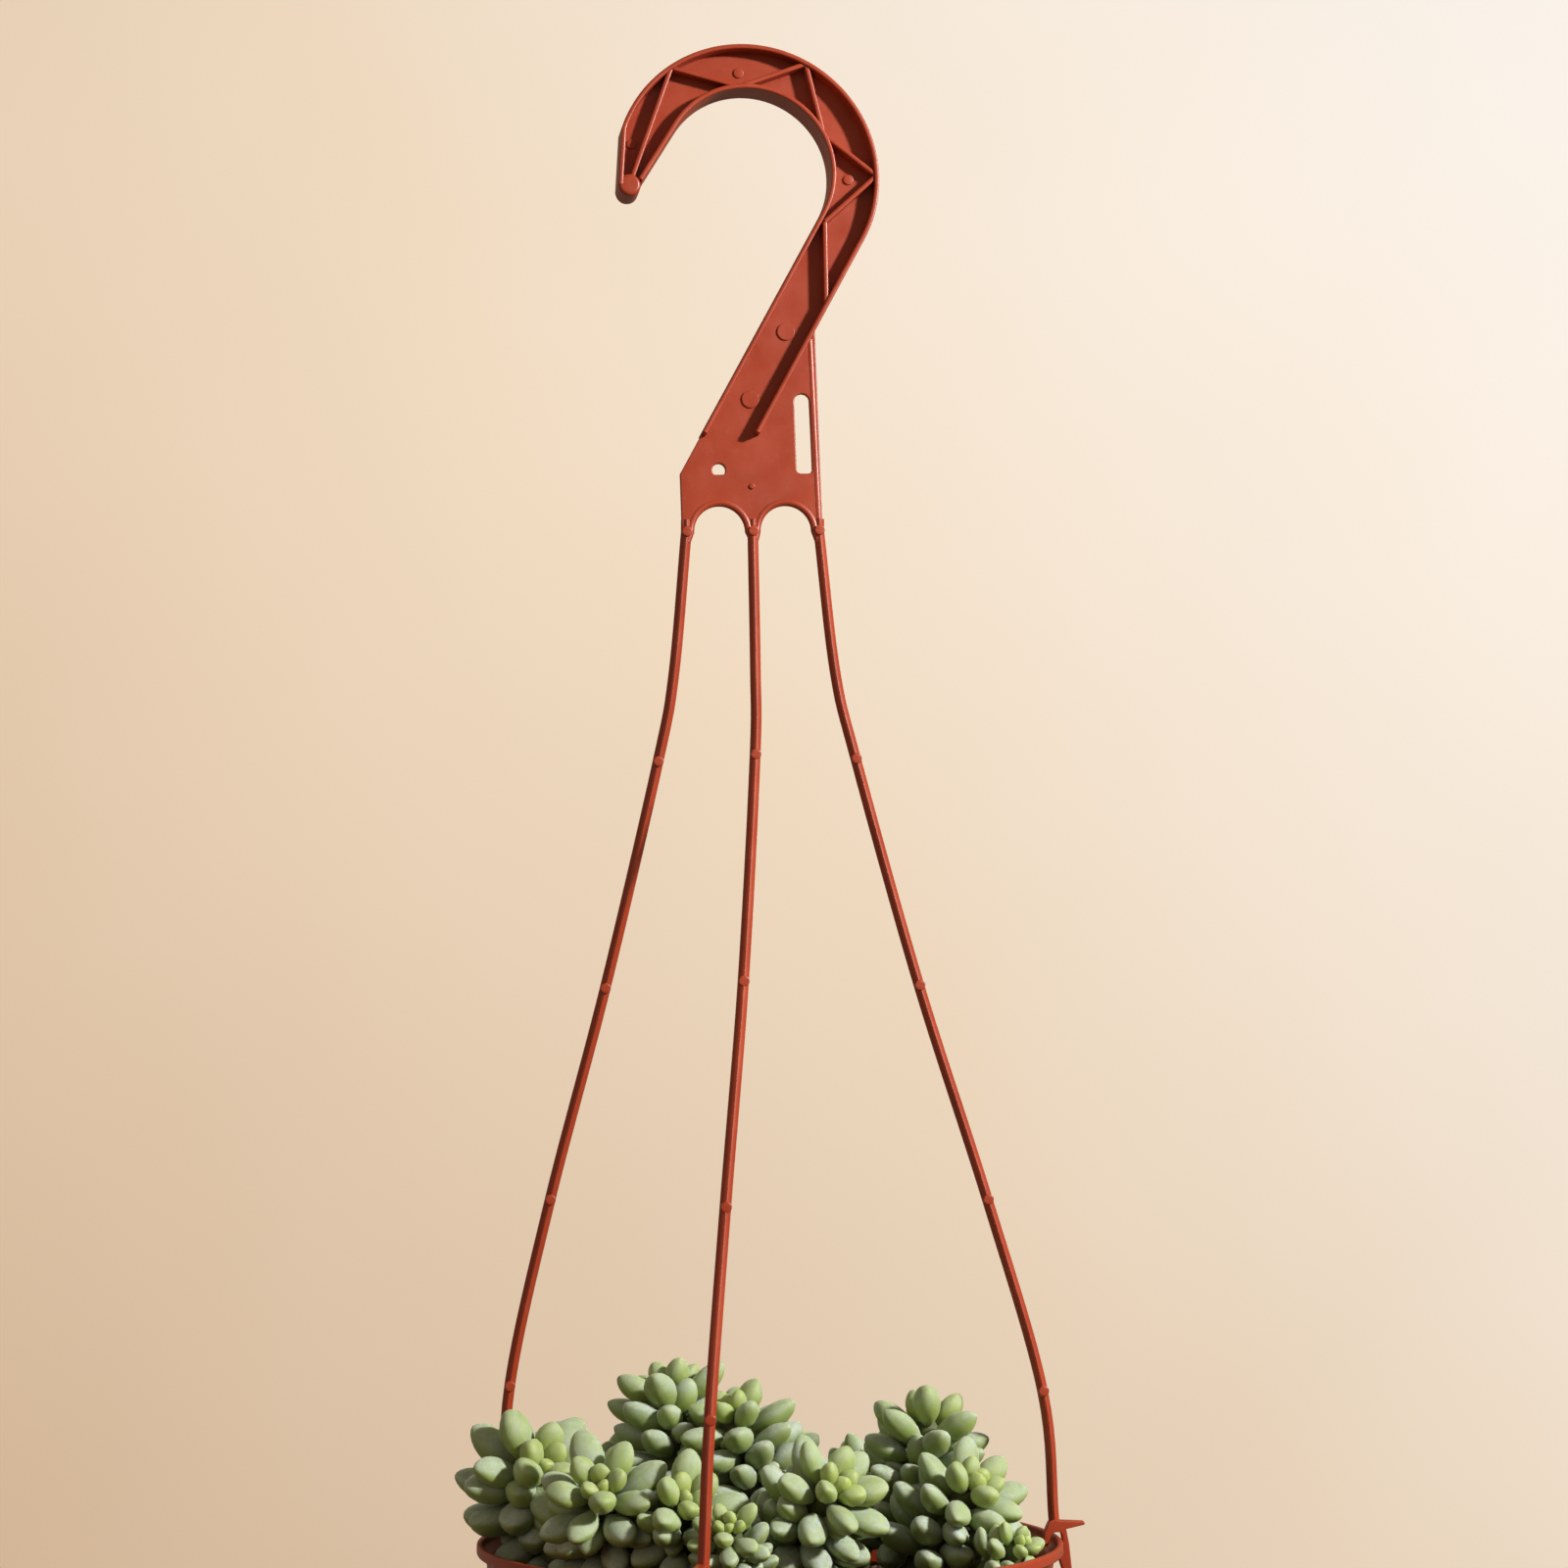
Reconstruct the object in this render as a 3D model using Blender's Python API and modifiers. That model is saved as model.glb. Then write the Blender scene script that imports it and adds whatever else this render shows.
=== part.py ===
"""A burro's tail in a plastic hanging pot, with its one-piece moulded hanger.

Metres, +Z up, front towards -Y. The origin is the crest of the hook's inside, where it sits on a rod,
and the pot hangs below it.
"""

import math
import random

import bmesh
import bpy
from mathutils import Matrix, Vector

# --- Driving dimensions -------------------------------------------------------------------------------

# The hook: an I-shaped section, web in the middle of the depth, rims on both edges.
HOOK_INNER_R = 0.0209
HOOK_BAND = 0.0124
OUTER_SHIFT = (-0.0004, -0.0012)
HOOK_DEPTH = 0.0090
WEB_THICKNESS = 0.0016
RIM_THICKNESS = 0.0012
ZIGZAG_DEPTH = 0.0080
SHANK_ANGLE = math.radians(30)
TIP_ANGLE = math.radians(33)
HOOK_LEAN = math.radians(2.2)
ZIGZAG_DEG = (124, 94, 61, 26, 0)
CORNER_ANGLE = math.radians(159.5)
TIP_CENTRE = (-0.0301, -0.0250)
TIP_RADIUS = 0.0028
TIP_DEPTH = 0.0064
RIM_STEP = 0.0001
RIM_END_Z = -0.0875
LAST_RIB_Z = (-0.0340, -0.0552)

# The plate below the hook, and the arches between the strands.
PLATE_RIGHT = 0.0156
PLATE_LEFT = -0.0196
STRAND_PITCH = 0.0166
STRAND_MIDDLE_X = -0.0019
ARCH_RADIUS = 0.0068
ARCH_Z = -0.1116
SLOT_CENTRE = (0.0116, -0.0871)
SLOT_SIZE = (0.0039, 0.0202)
SLOT_FOOT_R = 0.0009
TAG_HOLE_CENTRE = (-0.0099, -0.0962)
TAG_HOLE_R = 0.00165
TAG_HOLE_FLAT = math.radians(44)
BOSSES = ((0.0082, -0.0614, 0.0022), (-0.0014, -0.0785, 0.0022), (-0.0013, 0.0048, 0.0013),
          (0.0256, -0.0224, 0.0013), (-0.0289, -0.0138, 0.0012), (-0.0018, -0.1004, 0.0007))
BOSS_HEIGHT = 0.0004
BEAD_RADIUS = 0.0010

# The pot.
POT_AXIS = Vector((0.0067, -0.0011, 0.0))
RIM_Z = -0.3563
POT_HEIGHT = 0.105
LIP_RADIUS = 0.0700
LIP_THICKNESS = 0.0014
LIP_HEIGHT = 0.0026
WALL_TOP_RADIUS = 0.0680
WALL_THICKNESS = 0.0012
BASE_RADIUS = 0.0505
BASE_THICKNESS = 0.0016
BASE_RAISE = 0.0030
DRAIN_HOLES = 8
DRAIN_HOLE_R = 0.0034
DRAIN_CIRCLE_R = 0.0380

# The strands: their clip's place round the rim, and how they run down to it. A strand's stations are
# shares of its drop, and "across" and "forward" are the shares of its way in X and Y reached there.
STRAND_RADIUS = 0.00135
PIP_RADIUS = 0.0013
PIP_HEIGHT = 0.0018
STRAND_ABOVE_RIM = 0.0030
CLIP_INSET = 0.0012
CLIP_WIDTH = 0.0026
STATIONS = (0.145, 0.235, 0.465, 0.680, 0.870)
EVEN_SPREAD = (0.070, 0.160, 0.432, 0.723, 0.955)
WIDE_SPREAD = (0.067, 0.155, 0.448, 0.755, 0.980)
LATE_SPREAD = (0.000, 0.045, 0.311, 0.645, 0.915)
STRANDS = {
    "left": {"place": -1, "clip_deg": -117, "across": WIDE_SPREAD, "forward": WIDE_SPREAD},
    "front": {"place": 0, "clip_deg": -21, "across": LATE_SPREAD, "forward": EVEN_SPREAD},
    "right": {"place": 1, "clip_deg": 86, "across": EVEN_SPREAD, "forward": EVEN_SPREAD},
}

# The clip's side view: how far out from the lip's outside, and how high over the lip's top.
CLIP_OUTLINE = (
    (-0.0026, 0.0034), (-0.0032, 0.0021), (-0.0038, 0.0006), (-0.0040, -0.0012), (-0.0037, -0.0024),
    (-0.0030, -0.0024), (-0.0025, -0.0008), (-0.0018, 0.0005), (-0.0010, 0.0009), (-0.0002, 0.0009),
    (0.0004, 0.0005), (0.0006, -0.0004), (0.0008, -0.0030), (-0.0006, -0.0031), (-0.0007, -0.0038),
    (0.0008, -0.0086), (0.0019, -0.0118), (0.0029, -0.0119), (0.0031, -0.0100), (0.0023, -0.0020),
    (0.0016, 0.0016), (0.0060, 0.0026), (0.0062, 0.0030), (0.0059, 0.0034), (0.0003, 0.0037),
    (-0.0012, 0.0040),
)

# The soil and the plant.
GAP = 0.0003
SOIL_DEPTH = 0.0130
STEM_RADIUS = 0.0022
ROOT_DEPTH = 0.0080
GOLDEN_ANGLE = math.radians(137.508)
MM = 0.001
# Each tail, in mm from the rim's centre: root (x, y), tip (x, y, height), where the tip faces, the
# length of a full leaf, and the turn of its first leaf in degrees. The tails in front come first.
TAILS = {
    "tail_left": ((-50, 15), (-55, -1, 18), (0.40, -0.75, 0.50), 17.0, 20),
    "tail_front_left": ((-37, -12), (-44, -31, 16), (-0.10, -0.72, 0.65), 14.5, 75),
    "tail_front": ((-17, -18), (-25, -36, 13), (0.35, -0.60, 0.65), 14.0, 160),
    "tail_front_right": ((3, -20), (9, -38, 16), (0.50, -0.60, 0.60), 14.5, 215),
    "tail_right": ((37, -9), (46, -18, 13), (0.40, -0.62, 0.62), 14.5, 40),
    "tail_back_right": ((34, 14), (41, 10, 26), (0.10, 0.35, 0.93), 14.5, 100),
    "tail_middle": ((0, 6), (-8, 10, 28), (-0.35, -0.30, 0.88), 14.0, 10),
    "tail_back_left": ((-20, 18), (-21, 27, 33), (-0.10, 0.40, 0.90), 14.5, 130),
    "tail_rear": ((4, 34), (6, 46, 16), (0.05, 0.55, 0.80), 14.5, 60),
    "tail_rear_right": ((28, 34), (36, 43, 11), (0.50, 0.55, 0.65), 14.5, 95),
    "tail_rear_left": ((-27, 34), (-36, 44, 11), (-0.50, 0.50, 0.70), 14.5, 25),
    "tail_right_low": ((45, -27), (54, -31, 1), (0.40, -0.60, 0.60), 9.0, 15),
    "tail_offset": ((-13, -40), (-17, -48, 9), (-0.10, -0.75, 0.55), 9.0, 55),
}

# How leaves grow along a tail, from its tip down. The spread is a leaf's angle off the stem. Leaves of
# one tail may press into each other, down to their firm share.
MOST_LEAVES = 50
LEAVES_TO_FULL = 10
LEAF_SPACING = 0.85 * MM
LOWEST_LEAF = 7 * MM
TIP_LEAF_SHARE = 0.32
TIP_SPREAD = 12
FULL_SPREAD = 68
DROOP = 20
LEAF_WIDTH = 0.50
TIP_LEAF_WIDTH = 0.78
LEAF_THICKNESS = 0.86
LEAF_FIRMNESS = 0.50
STEM_SWELL = 0.9
# A hindered leaf tries these: (share of its spread, share of its size).
LEAF_CHOICES = ((1.0, 1.0), (0.87, 1.0), (1.12, 1.0), (0.74, 1.0), (1.25, 0.95), (0.6, 0.95), (0.9, 0.85),
                (0.7, 0.8), (0.5, 0.8), (1.1, 0.75))

# Fineness of the mesh.
STEM_POINTS = 8
LEAF_SIDES = 5
LEAF_RINGS = 3
ARC_STEP = math.radians(10)
POT_SIDES = 40
STRAND_STEP = 0.015


MODEL = bpy.data.collections.new("hanging_burros_tail")
CUTTERS = bpy.data.collections.new("cutters")


# --- Tools --------------------------------------------------------------------------------------------

def material(name, colour, roughness):
    """A Principled material of one colour."""
    finish = bpy.data.materials.new(name)
    finish.use_nodes = True
    shader = finish.node_tree.nodes["Principled BSDF"]
    shader.inputs["Base Color"].default_value = (*colour, 1.0)
    shader.inputs["Roughness"].default_value = roughness
    return finish


def add_object(name, data, location=(0, 0, 0), collection=MODEL):
    piece = bpy.data.objects.new(name, data)
    piece.location = location
    collection.objects.link(piece)
    return piece


def add_bmesh(name, bm, collection=MODEL):
    mesh = bpy.data.meshes.new(name)
    bm.to_mesh(mesh)
    bm.free()
    return add_object(name, mesh, collection=collection)


def settle(piece):
    """Swaps a piece's mesh for what its modifiers make of it."""
    bpy.context.view_layer.update()
    graph = bpy.context.evaluated_depsgraph_get()
    mesh = bpy.data.meshes.new_from_object(piece.evaluated_get(graph))
    piece.modifiers.clear()
    piece.data = mesh


def solid_from_curve(name, curve):
    """The closed mesh of a bevelled or extruded curve, its caps welded."""
    guide = add_object(name + "_guide", curve)
    bpy.context.view_layer.update()
    graph = bpy.context.evaluated_depsgraph_get()
    mesh = bpy.data.meshes.new_from_object(guide.evaluated_get(graph))
    bpy.data.objects.remove(guide)
    bpy.data.curves.remove(curve)
    bm = bmesh.new()
    bm.from_mesh(mesh)
    bmesh.ops.remove_doubles(bm, verts=bm.verts, dist=1e-6)
    bmesh.ops.recalc_face_normals(bm, faces=bm.faces)
    bm.to_mesh(mesh)
    bm.free()
    return add_object(name, mesh)


def tube(name, points, radius, swell=None):
    """A round bar along the points, with 8 sides. Its radius may swell by a share at each point."""
    curve = bpy.data.curves.new(name, "CURVE")
    curve.dimensions = "3D"
    curve.bevel_depth = radius
    curve.bevel_resolution = 2
    curve.use_fill_caps = True
    spline = curve.splines.new("POLY")
    spline.points.add(len(points) - 1)
    for place, point, share in zip(spline.points, points, swell or [1.0] * len(points)):
        place.co = (*point, 1.0)
        place.radius = share
    return solid_from_curve(name, curve)


def sheet(name, outlines, thickness, shift=0.0):
    """A flat solid standing in the XZ plane. The first outline is its edge, the others are holes."""
    curve = bpy.data.curves.new(name, "CURVE")
    curve.dimensions = "2D"
    curve.fill_mode = "BOTH"
    curve.extrude = thickness / 2
    for outline in outlines:
        spline = curve.splines.new("POLY")
        spline.points.add(len(outline) - 1)
        for place, (x, z) in zip(spline.points, outline):
            place.co = (x, z, 0.0, 1.0)
        spline.use_cyclic_u = True
    piece = solid_from_curve(name, curve)
    piece.data.transform(Matrix.Translation((0, shift, 0)) @ Matrix.Rotation(math.pi / 2, 4, "X"))
    return piece


def combine(body, tools, solver="EXACT"):
    """Joins the tools to the body, one after the other."""
    for tool in tools:
        change = body.modifiers.new("join", "BOOLEAN")
        change.operation = "UNION"
        change.solver = solver
        change.object = tool
        settle(body)
        bpy.data.objects.remove(tool)
    return body


def finish_with(piece, finish):
    piece.data.materials.clear()
    piece.data.materials.append(finish)


def arc(centre, radius, start, end, step=ARC_STEP):
    """Points round a centre in the XZ plane, from one angle to another, both included."""
    count = max(2, math.ceil(abs(end - start) / step))
    angles = [start + (end - start) * i / count for i in range(count + 1)]
    return [(centre[0] + radius * math.cos(a), centre[1] + radius * math.sin(a)) for a in angles]


def circle(centre, radius, sides=12):
    return arc(centre, radius, 0, math.tau * (1 - 1 / sides), math.tau / sides)


def thicken(points, width):
    """The outline of a strip of this width along an open line of points in the XZ plane."""
    path = [Vector(p) for p in points]
    sides = ([], [])
    for i, point in enumerate(path):
        before = (point - path[i - 1]).normalized() if i else None
        after = (path[i + 1] - point).normalized() if i + 1 < len(path) else None
        before, after = before or after, after or before
        along = (before + after).normalized()
        offset = Vector((-along.y, along.x)) * (width / 2 / max(0.5, along.dot(after)))
        sides[0].append(tuple(point + offset))
        sides[1].append(tuple(point - offset))
    return sides[0] + sides[1][::-1]


def smooth_line(points, spacing):
    """Points about this far apart on a smooth curve through the given ones."""
    ends = [2 * points[0] - points[1], *points, 2 * points[-1] - points[-2]]
    line = []
    for a, b, c, d in zip(ends, ends[1:], ends[2:], ends[3:]):
        count = max(1, round((c - b).length / spacing))
        for i in range(count):
            t = i / count
            line.append(0.5 * (2 * b + (c - a) * t + (2 * a - 5 * b + 4 * c - d) * t ** 2
                               + (3 * b - a - 3 * c + d) * t ** 3))
    return line + [points[-1]]


# --- The hanger ---------------------------------------------------------------------------------------

HOOK_CENTRE = Vector((0.0, -HOOK_INNER_R))
HOOK_OUTER_R = HOOK_INNER_R + HOOK_BAND
SHANK_DOWN = Vector((-math.sin(SHANK_ANGLE), -math.cos(SHANK_ANGLE)))
TIP_DOWN = Vector((-math.sin(TIP_ANGLE), -math.cos(TIP_ANGLE)))
LEAN = Matrix.Rotation(-HOOK_LEAN, 4, "Y")


def hook_arc(radius, start, end):
    """Points along the hook. Its outer arcs are centred a little lower than its inner ones."""
    share = (radius - HOOK_INNER_R) / HOOK_BAND
    return arc(HOOK_CENTRE + Vector(OUTER_SHIFT) * share, radius, start, end)


def on_hook(radius, angle):
    return Vector(hook_arc(radius, angle, angle)[0])


def down_shank(radius, height):
    """The point at this height on the straight line that leaves the hook's arc of this radius."""
    start = on_hook(radius, -SHANK_ANGLE)
    return start + SHANK_DOWN * ((height - start.y) / SHANK_DOWN.y)


def beside_tip(radius):
    """The point next to the tip on the straight line that leaves the hook's arc of this radius."""
    start = on_hook(radius, math.pi - TIP_ANGLE)
    return start + TIP_DOWN * ((TIP_CENTRE[1] + RIM_THICKNESS - start.y) / TIP_DOWN.y)


def shank_at_x(radius, x):
    start = on_hook(radius, -SHANK_ANGLE)
    return start + SHANK_DOWN * ((x - start.x) / SHANK_DOWN.x)


def web_outline():
    """The flat web of hook, shank and plate, just inside the rims' outer faces."""
    inset = 0.0002
    outer = HOOK_OUTER_R - inset
    inner = HOOK_INNER_R + inset
    outline = hook_arc(outer, CORNER_ANGLE, -SHANK_ANGLE)
    outline.append(shank_at_x(outer, PLATE_RIGHT))
    outline.append((PLATE_RIGHT, ARCH_Z))
    for side in (0.5, -0.5):
        centre = (STRAND_MIDDLE_X + side * STRAND_PITCH, ARCH_Z)
        outline += arc(centre, ARCH_RADIUS, 0, math.pi, 2 * ARC_STEP)
    outline.append((PLATE_LEFT, ARCH_Z))
    outline.append(shank_at_x(inner, PLATE_LEFT))
    outline += hook_arc(inner, -SHANK_ANGLE, math.pi - TIP_ANGLE)
    outline.append(beside_tip(inner))
    outline.append((TIP_CENTRE[0] + TIP_RADIUS / 2, TIP_CENTRE[1]))
    outline.append((TIP_CENTRE[0] - TIP_RADIUS + inset, TIP_CENTRE[1]))
    return outline


def tag_hole_outline():
    """A round hole with a flat foot."""
    return arc(TAG_HOLE_CENTRE, TAG_HOLE_R, -TAG_HOLE_FLAT, math.pi + TAG_HOLE_FLAT, math.radians(34))


def slot_outline():
    (x, z), (width, height) = SLOT_CENTRE, SLOT_SIZE
    half = width / 2
    foot = z - height / 2 + SLOT_FOOT_R
    inset = half - SLOT_FOOT_R
    return (arc((x, z + height / 2 - half), half, 0, math.pi, math.radians(30))
            + arc((x - inset, foot), SLOT_FOOT_R, math.pi, 1.5 * math.pi, math.radians(45))
            + arc((x + inset, foot), SLOT_FOOT_R, 1.5 * math.pi, math.tau, math.radians(45)))


def outer_rim():
    radius = HOOK_OUTER_R - RIM_THICKNESS / 2
    left = (TIP_CENTRE[0] - TIP_RADIUS + RIM_THICKNESS / 2, TIP_CENTRE[1])
    return [left, *hook_arc(radius, CORNER_ANGLE, -SHANK_ANGLE), down_shank(radius, RIM_END_Z)]


def inner_rim():
    radius = HOOK_INNER_R + RIM_THICKNESS / 2
    return [beside_tip(radius), *hook_arc(radius, math.pi - TIP_ANGLE, -SHANK_ANGLE),
            down_shank(radius, RIM_END_Z)]


def zigzag():
    """The corners of the ribs that brace the two rims, from the tip round to the shank."""
    outer = HOOK_OUTER_R - RIM_THICKNESS / 2
    inner = HOOK_INNER_R + RIM_THICKNESS / 2
    corners = [Vector(TIP_CENTRE)]
    for i, degrees in enumerate(ZIGZAG_DEG):
        corners.append(on_hook(inner if i % 2 else outer, math.radians(degrees)))
    for radius, height in zip((inner + RIM_THICKNESS, outer), LAST_RIB_Z):
        corners.append(down_shank(radius, height))
    return corners


def strand_x(place):
    return STRAND_MIDDLE_X + place * STRAND_PITCH


def strand_line(strand):
    """The middle line of a strand, from inside the plate's foot down to its clip."""
    top = LEAN @ Vector((strand_x(strand["place"]), 0.0, ARCH_Z))
    turn = math.radians(strand["clip_deg"])
    reach = LIP_RADIUS - CLIP_INSET
    end = POT_AXIS + Vector((reach * math.sin(turn), -reach * math.cos(turn), RIM_Z + STRAND_ABOVE_RIM))
    way = end - top
    stations = [top]
    for share, across, forward in zip(STATIONS, strand["across"], strand["forward"]):
        stations.append(top + Vector((way.x * across, way.y * forward, way.z * share)))
    stations.append(end)
    above = top + Vector((0.0, 0.0, 0.003))
    return [above, *smooth_line(stations, STRAND_STEP)], stations


def clip(name, clip_deg):
    """The snap clip over the lip: inner leg, outer leg with its barb, and release tab."""
    piece = sheet(name, [CLIP_OUTLINE], CLIP_WIDTH)
    turn = math.radians(clip_deg)
    lip = POT_AXIS + Vector((LIP_RADIUS * math.sin(turn), -LIP_RADIUS * math.cos(turn), RIM_Z))
    piece.data.transform(Matrix.Translation(lip) @ Matrix.Rotation(turn - math.pi / 2, 4, "Z"))
    return piece


def bead_lines():
    """The middle lines of the beads round both arches and down the plate's right edge, into the strands."""
    beads = []
    for place in (0, 1):
        centre = (strand_x(place - 0.5), ARCH_Z)
        arch = arc(centre, ARCH_RADIUS + BEAD_RADIUS / 2, 0, math.pi, 2 * ARC_STEP)
        arch.insert(0, (strand_x(place), ARCH_Z - (2 + place) * BEAD_RADIUS))
        arch.append((strand_x(place - 1), ARCH_Z - (2.5 + place) * BEAD_RADIUS))
        beads.append(arch)
    edge = PLATE_RIGHT - STRAND_RADIUS
    top = shank_at_x(HOOK_OUTER_R, edge)
    beads.append([(edge, top.y), (strand_x(1), ARCH_Z - 4 * BEAD_RADIUS)])
    return [[(x, 0.0, z) for x, z in bead] for bead in beads]


def make_hanger(finish):
    pieces = [
        sheet("outer_rim", [thicken(outer_rim(), RIM_THICKNESS)], HOOK_DEPTH),
        sheet("inner_rim", [thicken(inner_rim(), RIM_THICKNESS)], HOOK_DEPTH - 2 * RIM_STEP),
        sheet("tip", [circle(TIP_CENTRE, TIP_RADIUS)], TIP_DEPTH),
    ]
    corners = zigzag()
    for i, pair in enumerate(zip(corners, corners[1:])):
        depth = ZIGZAG_DEPTH - RIM_STEP * (i % 2)
        pieces.append(sheet(f"rib_{i}", [thicken(pair, RIM_THICKNESS)], depth))
    for i, (x, z, radius) in enumerate(BOSSES):
        face = WEB_THICKNESS / 2
        pieces.append(sheet(f"boss_{i}", [circle((x, z), radius)], 2 * BOSS_HEIGHT, -face))
    for i, bead in enumerate(bead_lines()):
        pieces.append(tube(f"bead_{i}", bead, BEAD_RADIUS + RIM_STEP * i / 2))
    hanger = sheet("hanger", [web_outline(), slot_outline(), tag_hole_outline()], WEB_THICKNESS)
    combine(hanger, pieces, "MANIFOLD")
    hanger.data.transform(LEAN)
    for name, strand in STRANDS.items():
        line, stations = strand_line(strand)
        fittings = [tube(name + "_strand", line, STRAND_RADIUS), clip(name + "_clip", strand["clip_deg"])]
        for i, place in enumerate([*stations[:1], *stations[2:-1]]):
            pip = sheet(f"{name}_pip_{i}", [circle((place.x, place.z), PIP_RADIUS, 8)], PIP_HEIGHT,
                        place.y - PIP_HEIGHT / 2)
            fittings.append(pip)
        combine(hanger, fittings, "MANIFOLD")
    finish_with(hanger, finish)


# --- The pot and its soil -----------------------------------------------------------------------------

POT_PLACE = POT_AXIS + Vector((0.0, 0.0, RIM_Z))


def wall_radius(height):
    """The wall's outer radius at a height below the rim, which is negative."""
    share = (height + LIP_HEIGHT) / (LIP_HEIGHT - POT_HEIGHT)
    return WALL_TOP_RADIUS + (BASE_RADIUS - WALL_TOP_RADIUS) * share


def turned(name, profile, finish, parent):
    """A solid turned round its parent's Z from a profile in the XZ plane that runs down its outer side."""
    bm = bmesh.new()
    points = [bm.verts.new((x, 0.0, z)) for x, z in profile]
    for pair in zip(points, points[1:]):
        bm.edges.new(pair)
    piece = add_bmesh(name, bm)
    piece.parent = parent
    piece.data.materials.append(finish)
    screw = piece.modifiers.new("turn", "SCREW")
    screw.steps = POT_SIDES
    screw.render_steps = POT_SIDES
    screw.use_merge_vertices = True
    screw.merge_threshold = 0.00001
    return piece


def cylinder_cutter(name, places, radius, low, high, parent):
    """Upright cutters of one radius, all in one mesh."""
    bm = bmesh.new()
    for x, y in places:
        middle = Matrix.Translation((x, y, (low + high) / 2))
        bmesh.ops.create_cone(bm, cap_ends=True, segments=10, radius1=radius, radius2=radius,
                              depth=high - low, matrix=middle)
    cutter = add_bmesh(name, bm, CUTTERS)
    cutter.parent = parent
    cutter.hide_render = True
    cutter.display_type = "WIRE"
    return cutter


def cut(piece, cutter):
    change = piece.modifiers.new("cut", "BOOLEAN")
    change.operation = "DIFFERENCE"
    change.solver = "EXACT"
    change.object = cutter


def make_pot(finish, rim):
    floor = -POT_HEIGHT + BASE_RAISE + BASE_THICKNESS
    under_lip = -LIP_HEIGHT
    inner_top = LIP_RADIUS - LIP_THICKNESS
    profile = [
        (0.0, floor),
        (wall_radius(floor) - WALL_THICKNESS, floor),
        (WALL_TOP_RADIUS - WALL_THICKNESS, under_lip - LIP_THICKNESS),
        (inner_top, under_lip + LIP_THICKNESS / 2),
        (inner_top, 0.0),
        (LIP_RADIUS, 0.0),
        (LIP_RADIUS, under_lip),
        (WALL_TOP_RADIUS, under_lip),
        (BASE_RADIUS, -POT_HEIGHT),
        (BASE_RADIUS - 2 * BASE_RAISE, -POT_HEIGHT),
        (BASE_RADIUS - 3 * BASE_RAISE, -POT_HEIGHT + BASE_RAISE),
        (0.0, -POT_HEIGHT + BASE_RAISE),
    ]
    pot = turned("pot", profile, finish, rim)
    holes = [(DRAIN_CIRCLE_R * math.cos(a), DRAIN_CIRCLE_R * math.sin(a))
             for a in (math.tau * (i + 0.5) / DRAIN_HOLES for i in range(DRAIN_HOLES))]
    cut(pot, cylinder_cutter("drain_cutter", holes, DRAIN_HOLE_R, -POT_HEIGHT, floor + MM, rim))


def make_soil(finish, rim):
    bottom = -POT_HEIGHT + BASE_RAISE + BASE_THICKNESS + GAP
    profile = [(0.0, -SOIL_DEPTH)]
    for height in (-SOIL_DEPTH, bottom):
        profile.append((wall_radius(height) - WALL_THICKNESS - GAP, height))
    profile.append((0.0, bottom))
    soil = turned("soil", profile, finish, rim)
    roots = [(root[0] * MM, root[1] * MM) for root, *_ in TAILS.values()]
    low = -SOIL_DEPTH - ROOT_DEPTH - GAP
    cut(soil, cylinder_cutter("root_cutter", roots, STEM_RADIUS + 2 * GAP, low, 0.0, rim))


# --- The plant ----------------------------------------------------------------------------------------
# Everything here is measured from the centre of the pot's rim.

def leaf_profile(share):
    """The share of a leaf's half width at this share of its length: plump past the middle, with a tip."""
    return max(0.0, math.sin(math.pi * share ** 1.27)) ** 0.6


def tail_path(root, tip, facing):
    """The stem's middle line from its root plug to its tip, as a list of close points."""
    bottom = Vector((root[0] * MM, root[1] * MM, -SOIL_DEPTH - ROOT_DEPTH))
    surface = Vector((bottom.x, bottom.y, -SOIL_DEPTH + MM))
    end = Vector(tip) * MM
    reach = (end - surface).length
    lower = surface + Vector((0, 0, reach * 0.3))
    upper = end - Vector(facing).normalized() * reach * 0.4
    line = [bottom]
    for i in range(STEM_POINTS + 1):
        t = i / STEM_POINTS
        u = 1 - t
        line.append(u ** 3 * surface + 3 * u * u * t * lower + 3 * u * t * t * upper + t ** 3 * end)
    return line


def stem_swell(line):
    """The stem's thickness along its line: thickest half way up, where leaf bases crowd it."""
    last = len(line) - 1
    swell = [1 + STEM_SWELL * math.sin(math.pi * (i - 1) / last) for i in range(2, last + 1)]
    return [1.0, 1.0, *swell]


def back_from_tip(line, distance):
    """The place and the direction to the tip at this distance down a line from its last point."""
    for a, b in zip(line[::-1], line[-2::-1]):
        length = (a - b).length
        if distance <= length:
            return a.lerp(b, distance / length), (a - b).normalized()
        distance -= length
    return None


def leaf_balls(base, way, length, width):
    """Balls that fill a leaf, to keep it clear of its neighbours."""
    return [(base + way * (length * share), leaf_profile(share) * width / 2)
            for share in (0.12, 0.28, 0.45, 0.62, 0.78, 0.92)]


def stem_balls(line):
    balls = []
    shares = stem_swell(line)
    for a, b, swell, next_swell in zip(line, line[1:], shares, shares[1:]):
        steps = math.ceil((b - a).length / MM)
        for i in range(steps):
            t = i / steps
            balls.append((a.lerp(b, t), STEM_RADIUS * (swell + (next_swell - swell) * t)))
    return balls


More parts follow.
